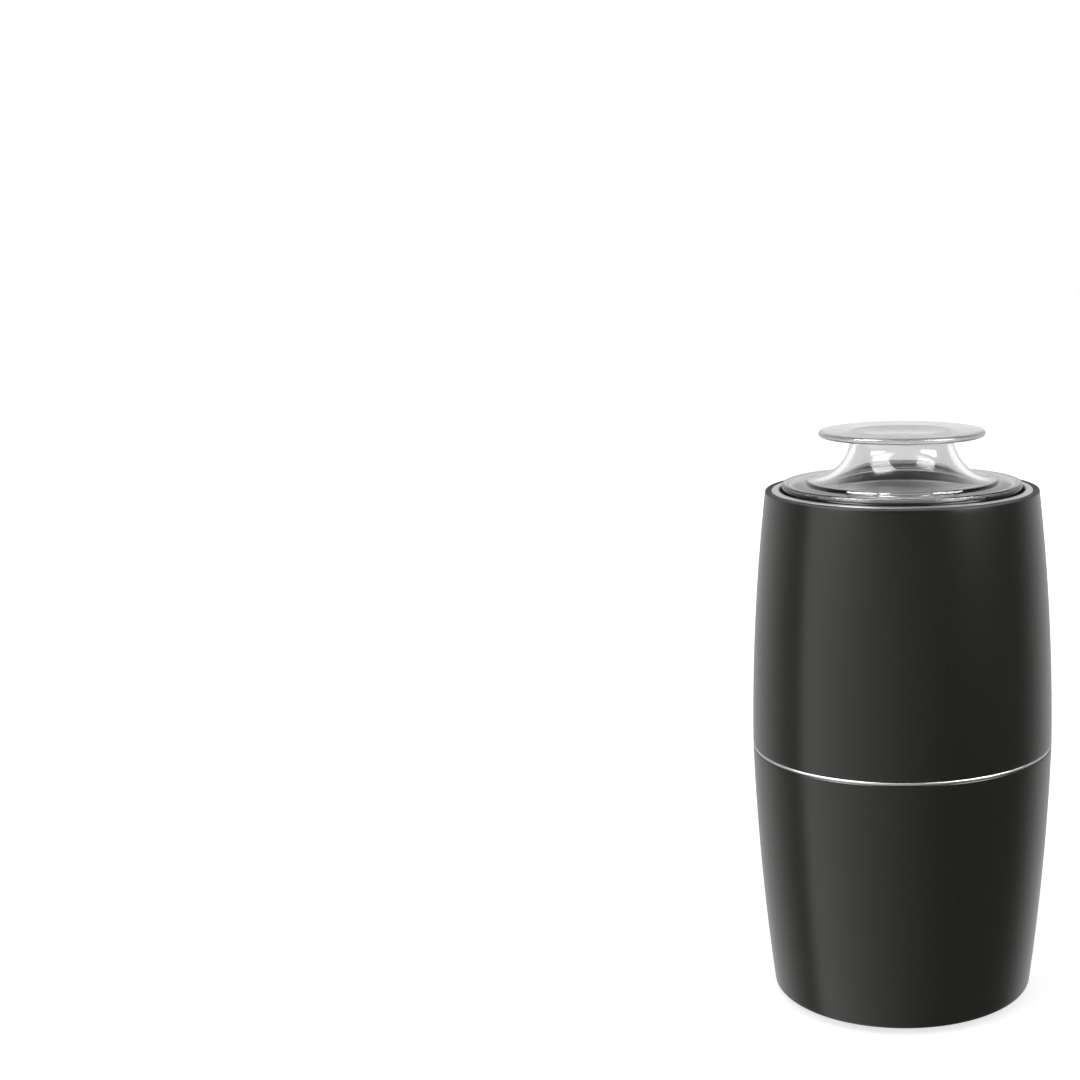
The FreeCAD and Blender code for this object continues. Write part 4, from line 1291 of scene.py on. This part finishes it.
@dataclass
class ClearLid:
    """The clear lid with its flare, and the disc that the hand presses."""

    top_z: float = 170.6
    plate_z: float = 168.4
    lip_z: float = 167.4
    lip_inner: float = 36.5
    radius: float = 38.4
    foot: float = 30.8
    flare_z: float = 171.4
    flare_centre: float = 30.3
    flare: float = 13.8
    flare_steps: int = 48
    wall: float = 2.0
    neck_z: float = 185.2
    skirt_outer: float = 31.6
    skirt_inner: float = 30.2
    skirt_z: float = 157.6
    disc_radius: float = 26.7
    disc_thick: float = 2.0
    disc_flat: float = 1.2
    dish: float = 0.35
    dish_steps: int = 16
    plug_inner: float = 13.125
    plug_outer: float = 14.425
    plug_z: float = 183.8

    def body(self) -> bpy.types.Object:
        """Makes skirt, flange, step and flare in one moulding.

        Returns:
            The moulding.
        """
        outline = Outline().to(self.skirt_inner, self.skirt_z, 0.4).to(self.skirt_outer, self.skirt_z, 0.4)
        outline.to(self.skirt_outer, self.plate_z, 0.3)
        outline.to(self.lip_inner, self.plate_z, 0.25).to(self.lip_inner, self.lip_z, 0.25)
        outline.to(self.radius, self.lip_z, 0.25).to(self.radius, self.top_z, 0.7)
        outline.to(self.foot + 0.3, self.top_z, 0.25).to(self.foot, self.flare_z - 0.1, 0.3)
        centre = (self.flare_centre, self.neck_z)
        outline.arc(centre, self.flare, -90, -180, self.flare_steps)
        outline.arc(centre, self.flare + self.wall, -180, -90, self.flare_steps)
        outline.to(self.skirt_inner, self.neck_z - self.flare - self.wall)
        return turned(outline, RING_STEPS)

    def disc(self) -> bpy.types.Object:
        """Makes the disc, with a round edge, a dished top and a short ring that plugs into the neck.

        Returns:
            The disc.
        """
        edge = self.disc_thick / 2
        top, rim = self.neck_z + self.disc_thick, self.disc_radius - edge
        outline = Outline().to(0, self.neck_z).to(self.plug_inner, self.neck_z, 0.3)
        outline.to(self.plug_inner, self.plug_z, 0.3).to(self.plug_outer, self.plug_z, 0.3)
        outline.to(self.plug_outer, self.neck_z, 0.3)
        outline.arc((rim, self.neck_z + edge), edge, -90, 90, 14)
        hollow = rim - self.disc_flat
        for step in range(self.dish_steps):
            share = 1 - step / self.dish_steps
            outline.to(hollow * share, top - self.dish * (1 - share * share))
        return turned(outline.to(0, top - self.dish), RING_STEPS)

    def build(self) -> None:
        """Makes the pieces."""
        piece("clear_lid", self.body(), CLEAR, Body.LID, "lid")
        piece("press_disc", self.disc(), CLOUDED, Body.LID, "lid_disc")


@dataclass
class GrindingBowl:
    """The steel bowl, its nut and seal, and the blade that turns in it."""

    radius: float = 32.0
    wall: float = 0.8
    rim_z: float = 163.0
    floor_z: float = 104.4
    corner: float = 8.0
    flange: float = 34.6
    hub: float = 6.15
    lip: float = 0.64

    def cup(self) -> bpy.types.Object:
        """Makes the pressed bowl with its rolled rim.

        Returns:
            The bowl.
        """
        under, turn = self.floor_z - self.wall, self.radius - self.corner
        outline = Outline().to(self.hub, under, 0.15)
        outline.arc((turn, self.floor_z + self.corner), self.corner + self.wall, -90, 0, 20)
        outline.to(self.radius + self.wall, self.rim_z - self.wall, 0.3)
        outline.to(self.flange, self.rim_z - self.wall, 0.3).to(self.flange, self.rim_z, 0.3)
        outline.arc((self.radius + self.lip, self.rim_z - self.lip), self.lip, 90, 180, 8)
        outline.arc((turn, self.floor_z + self.corner), self.corner, 0, -90, 20)
        return turned(outline.to(self.hub, self.floor_z, 0.15), RING_STEPS)

    def build(self) -> None:
        """Makes the pieces and dresses the seals."""
        piece("bowl_cup", self.cup(), BOWL, Body.HOUSING, "bowl")
        piece("hub_hexagon", softened(copied("hub_nut"), 0.25), ZINC, Body.HOUSING, "hub_nut")
        piece("blade_wings", softened(copied("blade"), 0.12, 2, 20), BLADE, Body.ROTOR, "blade", sharp=28)
        piece("cap_nut", softened(copied("blade_nut"), 0.25), BLADE, Body.ROTOR, "blade_nut")
        dress(RUBBER, "bowl_gasket", "shaft_seal")


@dataclass
class LiftRing:
    """The ring under the lid with its rod, and the three springs that carry it."""

    circle: float = 36.85
    low: float = 151.2
    high: float = 164.9
    travel: float = 2.2
    coil: float = 1.7
    wire: float = 0.45
    play: float = 0.03
    open_turns: int = 6
    turn_steps: int = 28

    def coils(self, start: float, pitch: float, turns: int) -> bpy.types.Object:
        """Winds wire up from a height.

        Args:
            start: the height of the wire's middle where it begins.
            pitch: how far each turn rises.
            turns: how many turns there are.

        Returns:
            The wound wire, open at both ends.
        """
        place = (self.coil * MM, 0.0, start * MM)
        section = {"vertices": 8, "radius": self.wire / 2 * MM, "rotation": (math.pi / 2, 0.0, 0.0)}
        work = fresh(bpy.ops.mesh.primitive_circle_add, location=place, **section)
        steps = {"steps": self.turn_steps, "render_steps": self.turn_steps}
        return modified(work, "SCREW", axis="Z", screw_offset=pitch * MM, iterations=turns, **steps)

    def spring(self) -> bpy.types.Object:
        """Makes one coil spring, with a closed turn at each end.

        Returns:
            The spring, on the Z axis.
        """
        start, end = self.low + self.wire / 2, self.high - self.play - self.wire / 2
        pitch = (end - start - 2 * self.wire) / self.open_turns
        foot = self.coils(start, self.wire, 1)
        middle = self.coils(start + self.wire, pitch, self.open_turns)
        work = joined(foot, middle, self.coils(end - self.wire, self.wire, 1))
        bpy.ops.object.mode_set(mode="EDIT")
        bpy.ops.mesh.select_all(action="SELECT")
        bpy.ops.mesh.remove_doubles(threshold=WELD * 10)
        bpy.ops.mesh.fill_holes(sides=0)
        close_up()
        return work

    def build(self) -> None:
        """Makes the pieces, and gives the springs a mesh of their own."""
        piece("lift_ring_moulding", softened(copied("lift_ring"), 0.25), INNER, Body.LIFT_RING, "lift_ring")
        springs = spaced(self.spring(), self.circle, THIRDS)
        made = piece("coil_springs", joined(*springs), SPRING, Body.HOUSING, "lift_springs")
        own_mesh(made)


@dataclass
class Underside:
    """The vented cover, its feet and screws, and the cord's bush and clamp."""

    foot_circle: float = 31.6
    foot_radius: float = 6.5
    foot_top: float = 3.1
    dish: float = 0.25
    dish_radius: float = 3.2
    stem: float = 2.0
    stem_top: float = 4.85
    bulb: float = 2.7
    bulb_tip: float = 1.4
    bulb_top: float = 6.85
    foot_angles: tuple[float, ...] = (-143.0, -37.0, 37.0, 143.0)

    def foot(self) -> bpy.types.Object:
        """Makes a rubber foot with a soft edge, a shallow dish in its sole, and its bulb.

        Returns:
            The foot, on the Z axis.
        """
        outline = Outline().to(0, self.dish).to(self.dish_radius, self.dish, 0.2)
        outline.to(self.dish_radius + 0.2, 0.0, 0.1).to(self.foot_radius, 0.0, 0.9)
        outline.to(self.foot_radius, self.foot_top, 0.2).to(self.stem, self.foot_top, 0.1)
        outline.to(self.stem, self.stem_top, 0.1).to(self.bulb, self.stem_top, 0.2)
        return turned(outline.to(self.bulb_tip, self.bulb_top, 0.4).to(0, self.bulb_top), 72)

    def build(self) -> None:
        """Makes the pieces and dresses the screws."""
        for number, work in enumerate(spaced(self.foot(), self.foot_circle, self.foot_angles), 1):
            piece(f"rubber_foot_{number}", work, RUBBER, Body.HOUSING, f"foot_{number}")
        cover = softened(copied("bottom_cover"), 0.2, 2, 40)
        piece("vented_cover", cover, INNER, Body.HOUSING, "bottom_cover")
        bush = softened(copied("cord_gland"), 0.25, 2, 40)
        piece("cord_bush", bush, RUBBER, Body.HOUSING, "cord_gland")
        piece("clamp_pair", softened(copied("cord_clamp"), 0.3), INNER, Body.HOUSING, "cord_clamp")
        dress(ZINC, "cover_screws", "seam_screws")


class Drive:
    """The chassis, the motor that hangs from it, and the switch that stands on it."""

    def build(self) -> None:
        """Dresses the nodes."""
        for finish, nodes in (
            (INNER, ("chassis", "switch_case")),
            (SPRING, ("switch_lever", "brush_springs")),
            (RED, ("switch_button",)),
            (CORE, ("stator_core", "armature_core")),
            (FIELD, ("field_coil_right", "field_coil_left")),
            (TURNS, ("armature_winding",)),
            (COPPER, ("commutator",)),
            (NATURAL, ("fan",)),
            (GROUND, ("motor_shaft",)),
            (BRONZE, ("upper_bearing", "lower_bearing")),
            (CAST, ("motor_bracket",)),
            (ZINC, ("motor_bolts",)),
            (BRASS, ("brush_holder_right", "brush_holder_left")),
            (CARBON, ("brush_right", "brush_left")),
        ):
            dress(finish, *nodes)


@dataclass(frozen=True)
class Pane:
    """A flat bright pane with a brighter bar across it.

    Its bearing is counted in degrees from the camera's side, and its rise from the horizon. The
    half width and half height are those seen from one unit away.
    """

    bearing: float
    rise: float
    wide: float
    high: float
    blur: float = 0.012

    def light(self, sheet: Sheet, way: Wire) -> Wire:
        """Works out where the pane shines.

        Args:
            sheet: the world's tree.
            way: the direction that is looked in.

        Returns:
            One or more on the pane, and zero elsewhere.
        """
        turn, rise = math.radians(self.bearing), math.radians(self.rise)
        out = Vector((math.sin(turn) * math.cos(rise), -math.cos(turn) * math.cos(rise), math.sin(rise)))
        side = Vector((math.cos(turn), math.sin(turn), 0.0))
        along, over, above = (
            sheet.node("ShaderNodeVectorMath", {"operation": "DOT_PRODUCT"}, {0: way, 1: axis}, "Value")
            for axis in (out, side, out.cross(side))
        )
        depth = sheet.math("MAXIMUM", along, 0.001)
        across = (over / depth).size()
        level = above / depth
        inside = across.between(self.wide + self.blur, self.wide - self.blur) * along.above(0.0)
        bar = (level + self.high * 0.25).size().between(0.07, 0.05)
        return inside * (level.size().between(self.high + self.blur, self.high - self.blur) + bar * 0.5)


@dataclass
class Studio:
    """A pale floor, a bright wall behind, soft boxes in front, and the camera.

    Pairs of numbers are the angles in degrees between which a light sets in.
    """

    place: tuple[float, float, float] = (-0.00048, -0.55889, 0.2493)
    yaw: float = -2.652
    pitch: float = 12.02
    roll: float = -0.573
    lens: float = 58.6
    shift: tuple[float, float] = (-0.26, 0.06)
    floor_radius: float = 6.0
    floor_tone: tuple[float, float] = (0.92, 0.94)
    floor_glow: float = 0.7
    floor_dim: float = 0.36
    back_light: float = 0.7
    back_left: tuple[float, float] = (-80.0, -132.0)
    back_right: tuple[float, float] = (98.0, 142.0)
    back_rise: tuple[float, float] = (60.0, 30.0)
    box_light: float = 1.25
    box_side: tuple[float, float] = (-84.0, -79.0)
    box_rise: tuple[float, float] = (14.0, 4.0)
    box_end: float = 46.0
    box_length: float = 113.0
    box_fade: float = 1.6
    top_light: float = 0.12
    top_rise: tuple[float, float] = (62.0, 80.0)
    pane_light: float = 15.0
    left_pane: Pane = Pane(-56.0, 42.0, 0.29, 0.5)
    right_pane: Pane = Pane(63.0, 34.0, 0.3, 0.37)
    bent_light: tuple[float, float] = (0.22, 0.3)
    bent_turn: tuple[float, float] = (40.0, 100.0)
    ambient: float = 0.13

    def camera(self) -> None:
        """Puts the camera where the picture was taken from."""
        yaw, pitch, roll = (math.radians(angle) for angle in (self.yaw, self.pitch, self.roll))
        ahead = Vector((math.sin(yaw) * math.cos(pitch), math.cos(yaw) * math.cos(pitch), -math.sin(pitch)))
        level = Vector((math.cos(yaw), -math.sin(yaw), 0.0))
        above = level.cross(ahead)
        right = level * math.cos(roll) + above * math.sin(roll)
        up = above * math.cos(roll) - level * math.sin(roll)
        data = bpy.data.cameras.new("camera")
        data.lens = self.lens
        data.sensor_width = 36.0
        data.shift_x, data.shift_y = self.shift
        data.clip_start = 0.01
        made = bpy.data.objects.new("camera", data)
        turn = Matrix((right, up, -ahead)).transposed()
        made.matrix_world = Matrix.Translation(self.place) @ turn.to_4x4()
        bpy.context.scene.collection.objects.link(made)
        bpy.context.scene.camera = made

    def floor(self) -> None:
        """Makes a wide pale floor that keeps the shadow and stays plain white elsewhere.

        It is clear for mirrored rays, so that the barrel shows the studio and not the floor.
        """
        disc = {"vertices": 96, "radius": self.floor_radius, "fill_type": "NGON"}
        made = fresh(bpy.ops.mesh.primitive_circle_add, **disc)
        made.name = made.data.name = "floor"
        material = bpy.data.materials.new("pale_floor")
        material.use_nodes = True
        sheet = Sheet(material.node_tree)
        tone = sheet.noise(sheet.place(), 3.0, 2.0).spread(*self.floor_tone)
        inputs = {"Base Color": sheet.vector(tone, tone, tone), "Roughness": 0.9}
        glow = sheet.ray("Camera") * (self.floor_glow - self.floor_dim) + self.floor_dim
        inputs.update({"Emission Color": sheet.vector(glow, glow, glow), "Emission Strength": 1.0})
        shader = sheet.node("ShaderNodeBsdfPrincipled", {}, inputs)
        nothing = sheet.node("ShaderNodeBsdfTransparent")
        sheet.end(sheet.node("ShaderNodeMixShader", {}, {0: sheet.mirrored(), 1: shader, 2: nothing}))
        made.data.materials.append(material)

    def surroundings(self) -> None:
        """Lights the studio: white behind, dim in front, with soft boxes at both sides.

        The tall box shows in the barrel as a soft band, and the two panes show in the flare.
        """
        world = bpy.data.worlds.new("studio")
        bpy.context.scene.world = world
        world.use_nodes = True
        sheet = Sheet(world.node_tree)
        way = sheet.node("ShaderNodeTexCoord", output="Generated")
        x, y, z = sheet.parts(way)
        turn = sheet.math("ARCTAN2", x, -1.0 * y) * (180.0 / math.pi)
        rise = sheet.math("ARCSINE", z) * (180.0 / math.pi)
        back = turn.between(*self.back_left) + turn.between(*self.back_right)
        back = back * rise.between(*self.back_rise)
        fade = sheet.math("MAXIMUM", self.box_end - turn, 0.0) / self.box_length
        box = turn.between(*self.box_side) * fade**self.box_fade * rise.between(*self.box_rise)
        panes = self.left_pane.light(sheet, way) + self.right_pane.light(sheet, way)
        bent = turn.size().between(*self.bent_turn).spread(*self.bent_light)
        light = back * self.back_light + box * self.box_light + rise.between(*self.top_rise) * self.top_light
        light = light + panes * (sheet.ray("Glossy") * self.pane_light + 1.0)
        light = light + sheet.ray("Transmission") * bent + self.ambient
        camera = sheet.ray("Camera")
        inputs = {"Color": (1.0, 1.0, 1.0, 1.0), "Strength": camera + (1.0 - camera) * light}
        sheet.end(sheet.node("ShaderNodeBackground", {}, inputs), "ShaderNodeOutputWorld")

    def build(self) -> None:
        """Makes the floor, the light and the camera."""
        self.floor()
        self.surroundings()
        self.camera()
        bpy.context.scene.view_settings.view_transform = "Standard"


def main() -> None:
    """Builds every sub-assembly and the studio."""
    logging.basicConfig(level=logging.INFO, format="%(message)s")
    for part in (Shells(), Collar(), ClearLid(), GrindingBowl(), LiftRing(), Underside(), Drive(), Studio()):
        part.build()


if __name__ == "__main__":
    main()
